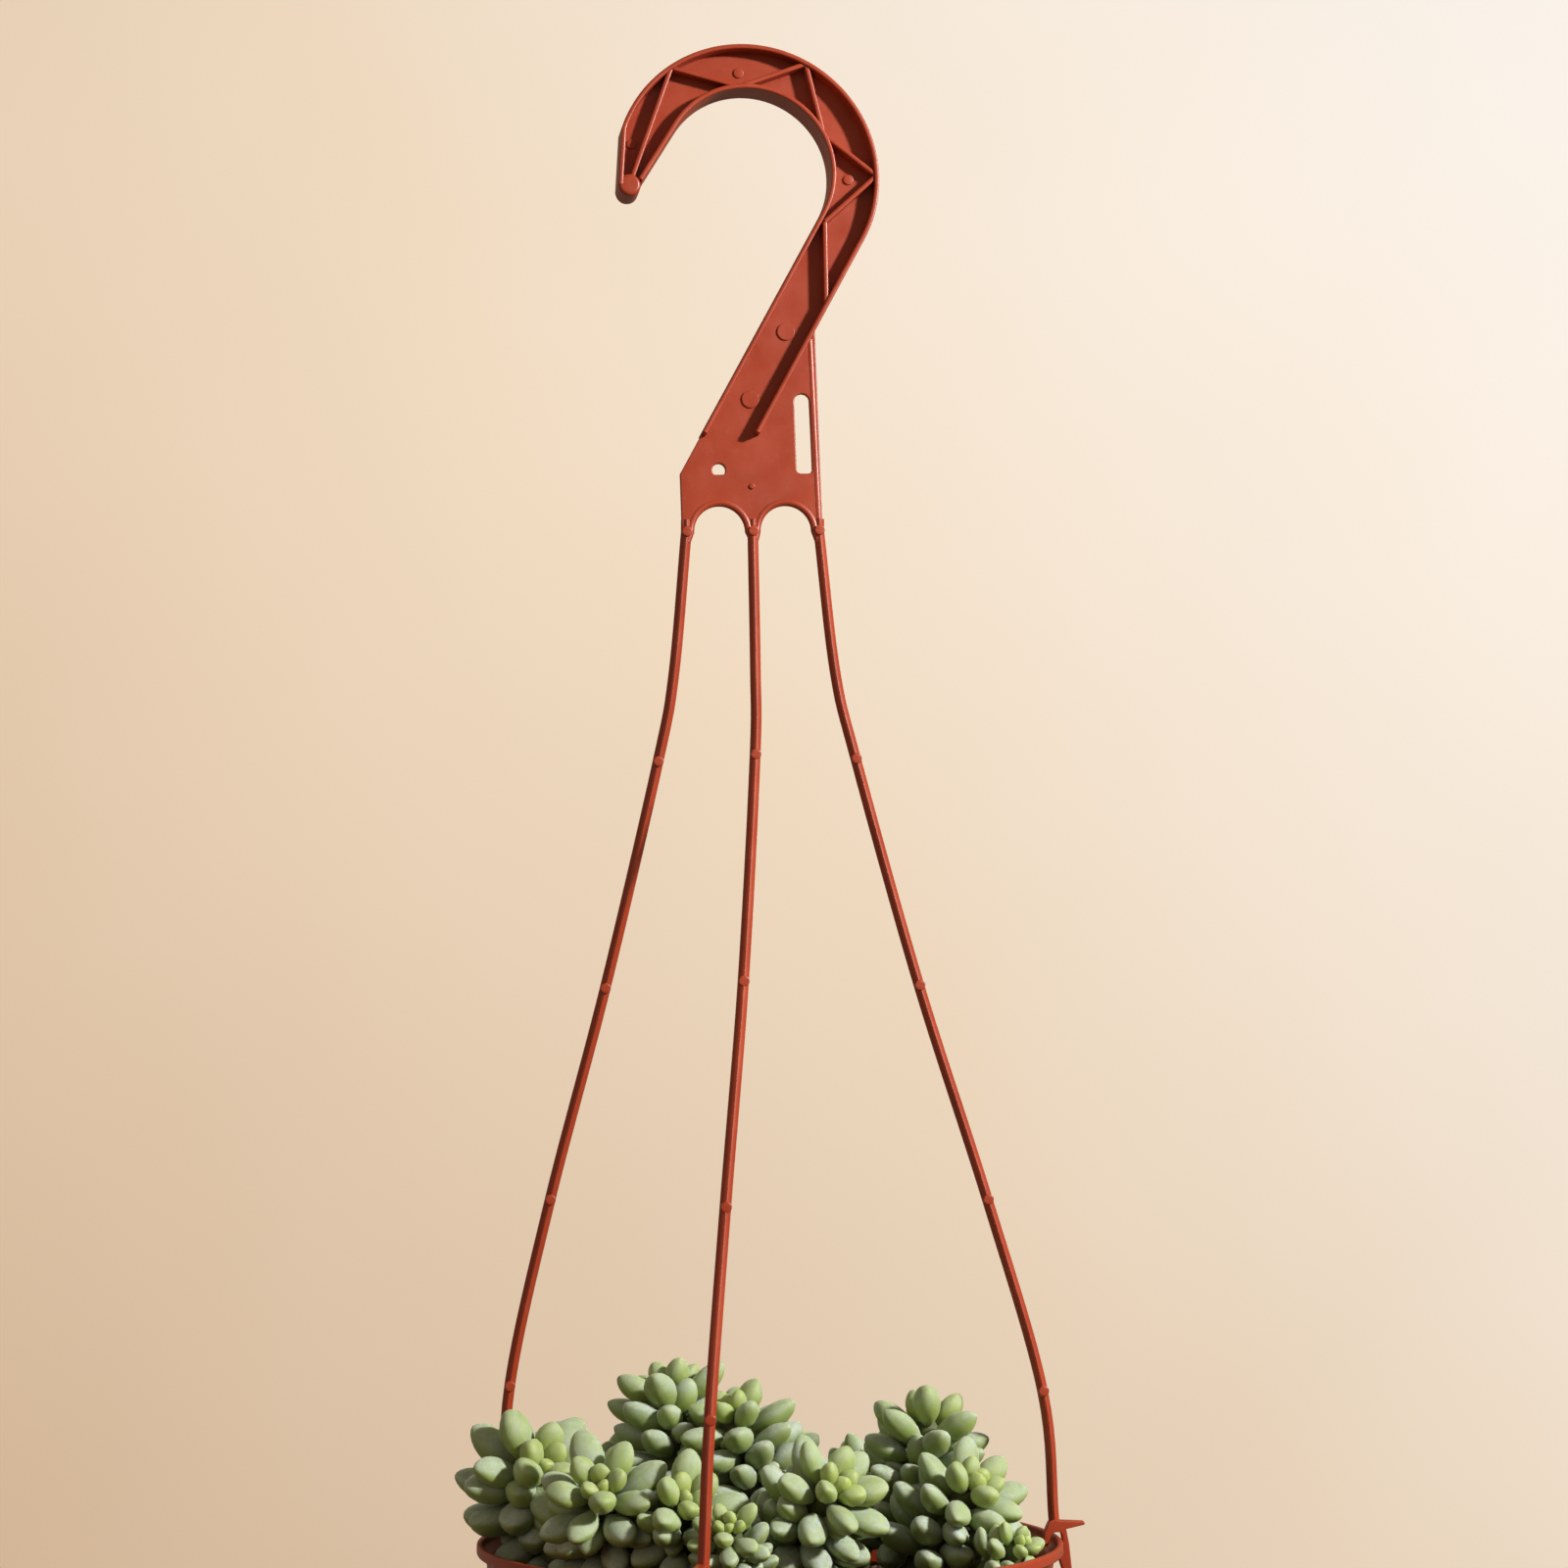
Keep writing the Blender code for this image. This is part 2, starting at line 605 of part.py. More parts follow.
def fixed_balls():
    """Balls that fill the strands and the clips near the leaves."""
    balls = []
    for strand in STRANDS.values():
        line, stations = strand_line(strand)
        for a, b in zip(line, line[1:]):
            steps = math.ceil((b - a).length / 0.001)
            balls += [(a.lerp(b, i / steps) - POT_PLACE, STRAND_RADIUS) for i in range(steps)]
        end = stations[-1] - POT_PLACE
        outward = Vector((end.x, end.y, 0)).normalized()
        balls += [(end + outward * x - Vector((0, 0, z)), 0.0016)
                  for x in (-0.0015, 0.0, 0.0015) for z in (0.001, 0.003, 0.005)]
        balls += [(end + outward * x, 0.0014) for x in (0.003, 0.005, 0.007)]
    return balls


def clear_of_pot(centre, radius):
    across = math.hypot(centre.x, centre.y)
    radius += GAP
    if centre.z - radius < -SOIL_DEPTH and across < WALL_TOP_RADIUS:
        return False
    if math.hypot(across - LIP_RADIUS + LIP_THICKNESS / 2, centre.z + LIP_HEIGHT / 2) < radius + 0.0015:
        return False
    inside = WALL_TOP_RADIUS - WALL_THICKNESS
    return not (centre.z < 0 and inside - radius < across < LIP_RADIUS + radius)


def apart(balls, others, firmness=1.0, gap=0.0):
    """Whether every ball keeps clear of all the others, each shrunk to its firm part."""
    return not any((centre - other).length < (radius + reach) * firmness + gap
                   for centre, radius in balls for other, reach in others)


def grow_leaves(name, line, leaf_length, spin, taken):
    """The leaves of one tail, each (base, direction, length, width), turned or left out where hindered."""
    chance = random.Random(name)
    leaves = []
    own = []
    distance = 0.0
    for i in range(MOST_LEAVES):
        grown = min(1.0, (i + 1) / LEAVES_TO_FULL)
        distance += LEAF_SPACING * (0.1 + 0.9 * grown ** 2)
        found = back_from_tip(line, distance)
        if not found or found[0].z < -SOIL_DEPTH + LOWEST_LEAF:
            break
        place, to_tip = found
        side = to_tip.orthogonal().normalized()
        side.rotate(Matrix.Rotation(spin + i * GOLDEN_ANGLE, 3, to_tip))
        length = leaf_length * (TIP_LEAF_SHARE + (1 - TIP_LEAF_SHARE) * grown) * chance.uniform(0.92, 1.06)
        plumpness = TIP_LEAF_WIDTH + (LEAF_WIDTH - TIP_LEAF_WIDTH) * grown
        width = length * plumpness * chance.uniform(0.93, 1.07)
        spread = TIP_SPREAD + (FULL_SPREAD - TIP_SPREAD) * grown ** 0.85 + DROOP * i / MOST_LEAVES
        spread = math.radians(spread + chance.uniform(-6, 6))
        for turn, share in LEAF_CHOICES:
            angle = spread * turn
            way = to_tip * math.cos(angle) + side * math.sin(angle)
            base = place + side * (STEM_RADIUS * grown)
            balls = leaf_balls(base, way, length * share, width * share)
            if (all(clear_of_pot(*ball) for ball in balls) and apart(balls, taken, gap=2 * GAP)
                    and apart(balls, own, LEAF_FIRMNESS)):
                own += balls
                leaves.append((base, way, length * share, width * share))
                break
    return leaves


def leaf_shape(bm, leaf):
    """Adds one leaf: a ball drawn out along the leaf and shaped to its profile."""
    base, way, length, width = leaf
    made = bmesh.ops.create_uvsphere(bm, u_segments=LEAF_SIDES, v_segments=LEAF_RINGS, radius=1.0)["verts"]
    for vert in made:
        share = (vert.co.z + 1) / 2
        ring = math.hypot(vert.co.x, vert.co.y)
        scale = leaf_profile(share) * width / 2 / ring if ring > 0.001 else 0.0
        vert.co = Vector((vert.co.x * scale, vert.co.y * scale * LEAF_THICKNESS, share * length))
    turn = way.to_track_quat("Z", "Y").to_matrix().to_4x4()
    bmesh.ops.transform(bm, matrix=Matrix.Translation(base) @ turn, verts=made)


def make_tails(finish, rim):
    taken = fixed_balls()
    lines = {name: tail_path(*tail[:3]) for name, tail in TAILS.items()}
    for name, (*_, leaf_mm, spin_deg) in TAILS.items():
        line = lines[name]
        others = [ball for other in TAILS if other != name for ball in stem_balls(lines[other])]
        leaves = grow_leaves(name, line, leaf_mm * MM, math.radians(spin_deg), taken + others)
        taken += [ball for leaf in leaves for ball in leaf_balls(*leaf)]
        tail = tube(name, line, STEM_RADIUS, stem_swell(line))
        blades = []
        for leaf in leaves:
            bm = bmesh.new()
            leaf_shape(bm, leaf)
            blades.append(add_bmesh("leaf", bm))
        combine(tail, blades)
        finish_with(tail, finish)
        tail.parent = rim


def main():
    for stray in list(bpy.data.objects):
        bpy.data.objects.remove(stray)
    for collection in (MODEL, CUTTERS):
        bpy.context.scene.collection.children.link(collection)
    terracotta_plastic = material("terracotta_plastic", (0.42, 0.085, 0.045), 0.38)
    make_hanger(terracotta_plastic)
    rim = add_object("rim_centre", None, location=POT_PLACE)
    make_pot(terracotta_plastic, rim)
    make_soil(material("potting_soil", (0.035, 0.022, 0.015), 0.95), rim)
    make_tails(material("burros_tail_leaf", (0.24, 0.36, 0.18), 0.50), rim)


main()
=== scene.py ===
"""The looks of a burro's tail in a plastic hanging pot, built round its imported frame.

Metres, +Z up, front towards -Y. The origin is the crest of the hook's inside.
"""

import math
import random

import bmesh
import bpy
from mathutils import Matrix, Vector, noise


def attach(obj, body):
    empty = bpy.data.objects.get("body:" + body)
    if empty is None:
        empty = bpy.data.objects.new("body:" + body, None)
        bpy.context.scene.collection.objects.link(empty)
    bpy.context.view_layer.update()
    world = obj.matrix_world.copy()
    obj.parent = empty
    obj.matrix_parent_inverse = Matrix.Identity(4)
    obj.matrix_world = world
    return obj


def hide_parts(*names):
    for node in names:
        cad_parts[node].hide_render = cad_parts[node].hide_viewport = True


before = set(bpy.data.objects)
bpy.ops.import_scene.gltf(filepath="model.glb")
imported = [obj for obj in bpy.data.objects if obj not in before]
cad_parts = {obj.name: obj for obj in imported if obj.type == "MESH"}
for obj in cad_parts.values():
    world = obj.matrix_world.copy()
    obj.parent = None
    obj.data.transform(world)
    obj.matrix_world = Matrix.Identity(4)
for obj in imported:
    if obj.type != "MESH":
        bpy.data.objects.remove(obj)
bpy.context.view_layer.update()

# --- Dimensions, as in the part -----------------------------------------------------------------------

# The hook: an I-shaped section, web in the middle of the depth, rims on both edges.
HOOK_INNER_R = 0.0209
HOOK_BAND = 0.0124
OUTER_SHIFT = (-0.0004, -0.0012)
HOOK_DEPTH = 0.0090
WEB_THICKNESS = 0.0016
RIM_THICKNESS = 0.0012
ZIGZAG_DEPTH = 0.0080
SHANK_ANGLE = math.radians(30)
TIP_ANGLE = math.radians(33)
HOOK_LEAN = math.radians(2.2)
ZIGZAG_DEG = (124, 94, 61, 26, 0)
CORNER_ANGLE = math.radians(159.5)
TIP_CENTRE = (-0.0301, -0.0250)
TIP_RADIUS = 0.0028
TIP_EDGE = 0.0009
WEB_EDGE = 0.0003
WEB_INSET = 0.0002
RIM_EDGE = 0.0004
RIM_STEP = 0.0001
RIM_END_Z = -0.0875
LAST_RIB_Z = (-0.0340, -0.0552)

# The plate below the hook, and the arches between the strands.
PLATE_RIGHT = 0.0156
PLATE_LEFT = -0.0196
STRAND_PITCH = 0.0166
STRAND_MIDDLE_X = -0.0019
ARCH_RADIUS = 0.0068
ARCH_Z = -0.1116
SLOT_CENTRE = (0.0116, -0.0871)
SLOT_SIZE = (0.0039, 0.0202)
SLOT_FOOT_R = 0.0009
TAG_HOLE_CENTRE = (-0.0099, -0.0962)
TAG_HOLE_R = 0.00165
TAG_HOLE_FLAT = math.radians(44)
BOSSES = ((0.0082, -0.0614, 0.0022), (-0.0014, -0.0785, 0.0022), (-0.0013, 0.0048, 0.0013),
          (0.0256, -0.0224, 0.0013), (-0.0289, -0.0138, 0.0012), (-0.0018, -0.1004, 0.0007))
BOSS_HEIGHT = 0.0004
BOSS_EDGE = 0.00012
BEAD_RADIUS = 0.0010

# The pot.
POT_AXIS = Vector((0.0067, -0.0011, 0.0))
RIM_Z = -0.3563
POT_HEIGHT = 0.105
LIP_RADIUS = 0.0700
LIP_THICKNESS = 0.0014
LIP_HEIGHT = 0.0026
LIP_BALL_R = 0.0015
WALL_TOP_RADIUS = 0.0680
WALL_THICKNESS = 0.0012
BASE_RADIUS = 0.0505
BASE_THICKNESS = 0.0016
BASE_RAISE = 0.0030
DRAIN_HOLES = 8
DRAIN_HOLE_R = 0.0034
DRAIN_CIRCLE_R = 0.0380
POT_EDGE = 0.0006

# The strands: their clip's place round the rim, and how they run down to it. A strand's stations are
# shares of its drop, and "across" and "forward" are the shares of its way in X and Y reached there. Its
# section is a rounded diamond, where a roundness of 2 would be a circle and 1 a sharp diamond.
STRAND_RADIUS = 0.00135
STRAND_ROUNDNESS = 1.25
STRAND_START_RISE = 0.003
PIP_RADIUS = 0.0013
PIP_HEIGHT = 0.0018
PIP_EDGE = 0.00025
STRAND_ABOVE_RIM = 0.0030
CLIP_INSET = 0.0012
CLIP_WIDTH = 0.0026
CLIP_EDGE = 0.0003
CLIP_BALL_R = 0.0016
TAB_BALL_R = 0.0014
STATIONS = (0.145, 0.235, 0.465, 0.680, 0.870)
EVEN_SPREAD = (0.070, 0.160, 0.432, 0.723, 0.955)
WIDE_SPREAD = (0.067, 0.155, 0.448, 0.755, 0.980)
LATE_SPREAD = (0.000, 0.045, 0.311, 0.645, 0.915)
STRANDS = {
    "left": {"place": -1, "clip_deg": -117, "across": WIDE_SPREAD, "forward": WIDE_SPREAD},
    "front": {"place": 0, "clip_deg": -21, "across": LATE_SPREAD, "forward": EVEN_SPREAD},
    "right": {"place": 1, "clip_deg": 86, "across": EVEN_SPREAD, "forward": EVEN_SPREAD},
}

# The clip's side view: how far out from the lip's outside, and how high over the lip's top.
CLIP_OUTLINE = (
    (-0.0026, 0.0034), (-0.0032, 0.0021), (-0.0038, 0.0006), (-0.0040, -0.0012), (-0.0037, -0.0024),
    (-0.0030, -0.0024), (-0.0025, -0.0008), (-0.0018, 0.0005), (-0.0010, 0.0009), (-0.0002, 0.0009),
    (0.0004, 0.0005), (0.0006, -0.0004), (0.0008, -0.0030), (-0.0006, -0.0031), (-0.0007, -0.0038),
    (0.0008, -0.0086), (0.0019, -0.0118), (0.0029, -0.0119), (0.0031, -0.0100), (0.0023, -0.0020),
    (0.0016, 0.0016), (0.0060, 0.0026), (0.0062, 0.0030), (0.0059, 0.0034), (0.0003, 0.0037),
    (-0.0012, 0.0040),
)

# The soil: its surface is rough, with bits of bark and perlite on it.
GAP = 0.0003
SOIL_DEPTH = 0.0130
SOIL_SINK = 0.0009
SOIL_ROUGHNESS = 0.0008
SOIL_LUMPS_PER_M = 220
SOIL_RINGS = 60
SOIL_BITS = 900
SMALLEST_BIT = 0.0005
LARGEST_BIT = 0.0015
PERLITE_SHARE = 0.05

# The plant.
STEM_RADIUS = 0.0022
ROOT_DEPTH = 0.0080
GOLDEN_ANGLE = math.radians(137.508)
MM = 0.001
# Each tail, in mm from the rim's centre: root (x, y), tip (x, y, height), where the tip faces, the
# length of a full leaf, and the turn of its first leaf in degrees. The tails in front come first.
TAILS = {
    "tail_left": ((-50, 15), (-55, -1, 18), (0.40, -0.75, 0.50), 17.0, 20),
    "tail_front_left": ((-37, -12), (-44, -31, 16), (-0.10, -0.72, 0.65), 14.5, 75),
    "tail_front": ((-17, -18), (-25, -36, 13), (0.35, -0.60, 0.65), 14.0, 160),
    "tail_front_right": ((3, -20), (9, -38, 16), (0.50, -0.60, 0.60), 14.5, 215),
    "tail_right": ((37, -9), (46, -18, 13), (0.40, -0.62, 0.62), 14.5, 40),
    "tail_back_right": ((34, 14), (41, 10, 26), (0.10, 0.35, 0.93), 14.5, 100),
    "tail_middle": ((0, 6), (-8, 10, 28), (-0.35, -0.30, 0.88), 14.0, 10),
    "tail_back_left": ((-20, 18), (-21, 27, 33), (-0.10, 0.40, 0.90), 14.5, 130),
    "tail_rear": ((4, 34), (6, 46, 16), (0.05, 0.55, 0.80), 14.5, 60),
    "tail_rear_right": ((28, 34), (36, 43, 11), (0.50, 0.55, 0.65), 14.5, 95),
    "tail_rear_left": ((-27, 34), (-36, 44, 11), (-0.50, 0.50, 0.70), 14.5, 25),
    "tail_right_low": ((45, -27), (54, -31, 1), (0.40, -0.60, 0.60), 9.0, 15),
    "tail_offset": ((-13, -40), (-17, -48, 9), (-0.10, -0.75, 0.55), 9.0, 55),
}

# How leaves grow along a tail, from its tip down. The spread is a leaf's angle off the stem. Leaves of
# one tail may press into each other, down to their firm share.
MOST_LEAVES = 50
LEAVES_TO_FULL = 10
LEAF_SPACING = 0.85 * MM
LOWEST_LEAF = 7 * MM
TIP_LEAF_SHARE = 0.32
TIP_SPREAD = 12
FULL_SPREAD = 68
DROOP = 20
LEAF_WIDTH = 0.50
TIP_LEAF_WIDTH = 0.78
LEAF_THICKNESS = 0.86
UPPER_THICKNESS = 0.9
LOWER_THICKNESS = 1.04
LEAF_FULLEST = 1.27
LEAF_PLUMPNESS = 0.6
LEAF_FIRMNESS = 0.50
BALL_SHARES = (0.12, 0.28, 0.45, 0.62, 0.78, 0.92)
AGEING = 2.2
STEM_SWELL = 0.9
# A hindered leaf tries these: (share of its spread, share of its size).
LEAF_CHOICES = ((1.0, 1.0), (0.87, 1.0), (1.12, 1.0), (0.74, 1.0), (1.25, 0.95), (0.6, 0.95), (0.9, 0.85),
                (0.7, 0.8), (0.5, 0.8), (1.1, 0.75))

# Small leaves fill the free places between the grown ones. They look for neighbours within their reach,
# in leaf lengths, and their choices are like the others'.
SMALL_LEAF_TRIES = 110
SMALL_LEAF_START = 5 * MM
SMALL_LEAF_SPACING = 0.4 * MM
SMALL_LEAF_FIRMNESS = 0.66
LEAF_REACH = 1.4
SMALL_LEAF_CHOICES = ((1.0, 0.85), (0.75, 0.85), (1.2, 0.8), (0.9, 0.68), (0.6, 0.68), (1.1, 0.55))

# Fineness of the mesh.
STEM_POINTS = 8
LEAF_SIDES = 14
LEAF_RINGS = 13
ARC_STEP = math.radians(2.5)
POT_SIDES = 192
STRAND_STEP = 0.004
STRAND_SIDES = 24
STEM_STEP = 0.0012
SHARP_DEG = 40
SOIL_SHARP_DEG = 30
PLANT_SHARP_DEG = 70

FRONT = Vector((0.0, -1.0, 0.0))
ROOT = "root"


# --- Tools --------------------------------------------------------------------------------------------

def link(name, data):
    piece = bpy.data.objects.new(name, data)
    bpy.context.scene.collection.objects.link(piece)
    return piece


def evaluated_mesh(name, data):
    """The mesh that Blender makes of a curve."""
    guide = link(name, data)
    bpy.context.view_layer.update()
    mesh = bpy.data.meshes.new_from_object(guide.evaluated_get(bpy.context.evaluated_depsgraph_get()))
    bpy.data.objects.remove(guide)
    bpy.data.curves.remove(data)
    return mesh


def add_plate(bm, outlines, thickness, edge, shift=0.0, matrix=None):
    """Adds a flat solid with rounded edges, upright in the XZ plane. Outlines after the first are holes."""
    curve = bpy.data.curves.new("plate", "CURVE")
    curve.dimensions = "2D"
    curve.fill_mode = "BOTH"
    curve.extrude = thickness / 2 - edge
    curve.bevel_depth = edge
    curve.bevel_resolution = 2
    curve.offset = -edge
    for outline in outlines:
        spline = curve.splines.new("POLY")
        spline.points.add(len(outline) - 1)
        for place, (x, z) in zip(spline.points, outline):
            place.co = (x, z, 0.0, 1.0)
        spline.use_cyclic_u = True
    mesh = evaluated_mesh("plate", curve)
    upright = Matrix.Translation((0, shift, 0)) @ Matrix.Rotation(math.pi / 2, 4, "X")
    mesh.transform(matrix @ upright if matrix else upright)
    bm.from_mesh(mesh)
    bpy.data.meshes.remove(mesh)


def add_tube(bm, points, radius, swell=None, resolution=8):
    """Adds a round bar along the points."""
    curve = bpy.data.curves.new("tube", "CURVE")
    curve.dimensions = "3D"
    curve.bevel_depth = radius
    curve.bevel_resolution = resolution
    curve.use_fill_caps = True
    spline = curve.splines.new("POLY")
    spline.points.add(len(points) - 1)
    for place, point, share in zip(spline.points, points, swell or [1.0] * len(points)):
        place.co = (*point, 1.0)
        place.radius = share
    mesh = evaluated_mesh("tube", curve)
    bm.from_mesh(mesh)
    bpy.data.meshes.remove(mesh)


def add_strand(bm, points):
    """Adds a bar with a rounded diamond section, whose ridges face front, back and sideways."""
    rings = []
    for before, point, after in zip(points[:1] + points, points, points[1:] + points[-1:]):
        way = (after - before).normalized()
        front = (FRONT - way * way.dot(FRONT)).normalized()
        side = way.cross(front)
        ring = []
        for j in range(STRAND_SIDES):
            angle = math.tau * j / STRAND_SIDES
            across, forward = math.cos(angle), math.sin(angle)
            size = abs(across) ** STRAND_ROUNDNESS + abs(forward) ** STRAND_ROUNDNESS
            reach = STRAND_RADIUS / size ** (1 / STRAND_ROUNDNESS)
            ring.append(bm.verts.new(point + reach * (across * side + forward * front)))
        rings.append(ring)
    faces = [bm.faces.new(rings[0]), bm.faces.new(rings[-1])]
    for ring, beyond in zip(rings, rings[1:]):
        for j in range(STRAND_SIDES):
            n = (j + 1) % STRAND_SIDES
            faces.append(bm.faces.new((ring[j], ring[n], beyond[n], beyond[j])))
    bmesh.ops.recalc_face_normals(bm, faces=faces)


def finish_piece(name, bm, materials, node, sharp_deg=SHARP_DEG):
    """Makes a piece of the mesh: smooth but for its sharp edges, and riding on the root for its node."""
    bmesh.ops.remove_doubles(bm, verts=bm.verts, dist=1e-6)
    for face in bm.faces:
        face.smooth = True
    for rim in bm.edges:
        if len(rim.link_faces) == 2 and rim.calc_face_angle(0.0) > math.radians(sharp_deg):
            rim.smooth = False
    mesh = bpy.data.meshes.new(name)
    bm.to_mesh(mesh)
    bm.free()
    piece = link(name, mesh)
    for finish in materials:
        mesh.materials.append(finish)
    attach(piece, ROOT)
    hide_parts(node)
    return piece


def arc(centre, radius, start, end, step=ARC_STEP):
    """Points round a centre in the XZ plane, from one angle to another, both included."""
    count = max(2, math.ceil(abs(end - start) / step))
    angles = [start + (end - start) * i / count for i in range(count + 1)]
    return [(centre[0] + radius * math.cos(a), centre[1] + radius * math.sin(a)) for a in angles]


def circle(centre, radius, sides):
    return arc(centre, radius, 0, math.tau * (1 - 1 / sides), math.tau / sides)


def thicken(points, width):
    """The outline of a strip of this width along an open line of points in the XZ plane."""
    path = [Vector(p) for p in points]
    sides = ([], [])
    for i, point in enumerate(path):
        before = (point - path[i - 1]).normalized() if i else None
        after = (path[i + 1] - point).normalized() if i + 1 < len(path) else None
        before, after = before or after, after or before
        along = (before + after).normalized()
        offset = Vector((-along.y, along.x)) * (width / 2 / max(0.5, along.dot(after)))
        sides[0].append(tuple(point + offset))
        sides[1].append(tuple(point - offset))
    return sides[0] + sides[1][::-1]


def smooth_line(points, spacing):
    """Points about this far apart on a smooth curve through the given ones."""
    ends = [2 * points[0] - points[1], *points, 2 * points[-1] - points[-2]]
    line = []
    for a, b, c, d in zip(ends, ends[1:], ends[2:], ends[3:]):
        count = max(1, round((c - b).length / spacing))
        for i in range(count):
            t = i / count
            line.append(0.5 * (2 * b + (c - a) * t + (2 * a - 5 * b + 4 * c - d) * t ** 2
                               + (3 * b - a - 3 * c + d) * t ** 3))
    return line + [points[-1]]


# --- The hanger ---------------------------------------------------------------------------------------

HOOK_CENTRE = Vector((0.0, -HOOK_INNER_R))
HOOK_OUTER_R = HOOK_INNER_R + HOOK_BAND
SHANK_DOWN = Vector((-math.sin(SHANK_ANGLE), -math.cos(SHANK_ANGLE)))
TIP_DOWN = Vector((-math.sin(TIP_ANGLE), -math.cos(TIP_ANGLE)))
LEAN = Matrix.Rotation(-HOOK_LEAN, 4, "Y")


def hook_arc(radius, start, end):
    """Points along the hook. Its outer arcs are centred a little lower than its inner ones."""
    share = (radius - HOOK_INNER_R) / HOOK_BAND
    return arc(HOOK_CENTRE + Vector(OUTER_SHIFT) * share, radius, start, end)


def on_hook(radius, angle):
    return Vector(hook_arc(radius, angle, angle)[0])


def down_shank(radius, height):
    """The point at this height on the straight line that leaves the hook's arc of this radius."""
    start = on_hook(radius, -SHANK_ANGLE)
    return start + SHANK_DOWN * ((height - start.y) / SHANK_DOWN.y)


def beside_tip(radius):
    """The point next to the tip on the straight line that leaves the hook's arc of this radius."""
    start = on_hook(radius, math.pi - TIP_ANGLE)
    return start + TIP_DOWN * ((TIP_CENTRE[1] + TIP_RADIUS / 2 - start.y) / TIP_DOWN.y)


def shank_at_x(radius, x):
    start = on_hook(radius, -SHANK_ANGLE)
    return start + SHANK_DOWN * ((x - start.x) / SHANK_DOWN.x)


def web_outline():
    """The flat web of hook, shank and plate, just inside the rims' outer faces."""
    outer = HOOK_OUTER_R - WEB_INSET
    inner = HOOK_INNER_R + WEB_INSET
    outline = hook_arc(outer, CORNER_ANGLE, -SHANK_ANGLE)
    outline.append(shank_at_x(outer, PLATE_RIGHT))
    outline.append((PLATE_RIGHT, ARCH_Z))
    for side in (0.5, -0.5):
        centre = (STRAND_MIDDLE_X + side * STRAND_PITCH, ARCH_Z)
        outline += arc(centre, ARCH_RADIUS, 0, math.pi, 2 * ARC_STEP)
    outline.append((PLATE_LEFT, ARCH_Z))
    outline.append(shank_at_x(inner, PLATE_LEFT))
    outline += hook_arc(inner, -SHANK_ANGLE, math.pi - TIP_ANGLE)
    outline.append(beside_tip(inner))
    outline.append((TIP_CENTRE[0] + TIP_RADIUS / 2, TIP_CENTRE[1]))
    outline.append((TIP_CENTRE[0] - TIP_RADIUS + WEB_INSET, TIP_CENTRE[1]))
    return outline


def tag_hole_outline():
    """A round hole with a flat foot."""
    return arc(TAG_HOLE_CENTRE, TAG_HOLE_R, -TAG_HOLE_FLAT, math.pi + TAG_HOLE_FLAT, math.radians(10))


def slot_outline():
    (x, z), (width, height) = SLOT_CENTRE, SLOT_SIZE
    half = width / 2
    foot = z - height / 2 + SLOT_FOOT_R
    inset = half - SLOT_FOOT_R
    return (arc((x, z + height / 2 - half), half, 0, math.pi, math.radians(30))
            + arc((x - inset, foot), SLOT_FOOT_R, math.pi, 1.5 * math.pi, math.radians(45))
            + arc((x + inset, foot), SLOT_FOOT_R, 1.5 * math.pi, math.tau, math.radians(45)))


def outer_rim():
    radius = HOOK_OUTER_R - RIM_THICKNESS / 2
    left = (TIP_CENTRE[0] - TIP_RADIUS + RIM_THICKNESS / 2, TIP_CENTRE[1])
    return [left, *hook_arc(radius, CORNER_ANGLE, -SHANK_ANGLE), down_shank(radius, RIM_END_Z)]


def inner_rim():
    radius = HOOK_INNER_R + RIM_THICKNESS / 2
    return [beside_tip(radius), *hook_arc(radius, math.pi - TIP_ANGLE, -SHANK_ANGLE),
            down_shank(radius, RIM_END_Z)]


def zigzag():
    """The corners of the ribs that brace the two rims, from the tip round to the shank."""
    outer = HOOK_OUTER_R - RIM_THICKNESS / 2
    inner = HOOK_INNER_R + RIM_THICKNESS / 2
    corners = [Vector(TIP_CENTRE)]
    for i, degrees in enumerate(ZIGZAG_DEG):
        corners.append(on_hook(inner if i % 2 else outer, math.radians(degrees)))
    for radius, height in zip((inner + RIM_THICKNESS, outer), LAST_RIB_Z):
        corners.append(down_shank(radius, height))
    return corners


def strand_x(place):
    return STRAND_MIDDLE_X + place * STRAND_PITCH


def strand_line(strand):
    """The middle line of a strand, from inside the plate's foot down to its clip."""
    top = LEAN @ Vector((strand_x(strand["place"]), 0.0, ARCH_Z))
    turn = math.radians(strand["clip_deg"])
    reach = LIP_RADIUS - CLIP_INSET
    end = POT_AXIS + Vector((reach * math.sin(turn), -reach * math.cos(turn), RIM_Z + STRAND_ABOVE_RIM))
    way = end - top
    stations = [top]
    for share, across, forward in zip(STATIONS, strand["across"], strand["forward"]):
        stations.append(top + Vector((way.x * across, way.y * forward, way.z * share)))
    stations.append(end)
    above = top + Vector((0.0, 0.0, STRAND_START_RISE))
    return [above, *smooth_line(stations, STRAND_STEP)], stations


def bead_lines():
    """The middle lines of the beads round both arches and down the plate's right edge, into the strands."""
    beads = []
    for place in (0, 1):
        centre = (strand_x(place - 0.5), ARCH_Z)
        arch = arc(centre, ARCH_RADIUS + BEAD_RADIUS / 2, 0, math.pi, 2 * ARC_STEP)
        arch.insert(0, (strand_x(place), ARCH_Z - (2 + place) * BEAD_RADIUS))
        arch.append((strand_x(place - 1), ARCH_Z - (2.5 + place) * BEAD_RADIUS))
        beads.append(arch)
    edge = PLATE_RIGHT - STRAND_RADIUS
    top = shank_at_x(HOOK_OUTER_R, edge)
    beads.append([(edge, top.y), (strand_x(1), ARCH_Z - 4 * BEAD_RADIUS)])
    return [[(x, 0.0, z) for x, z in bead] for bead in beads]


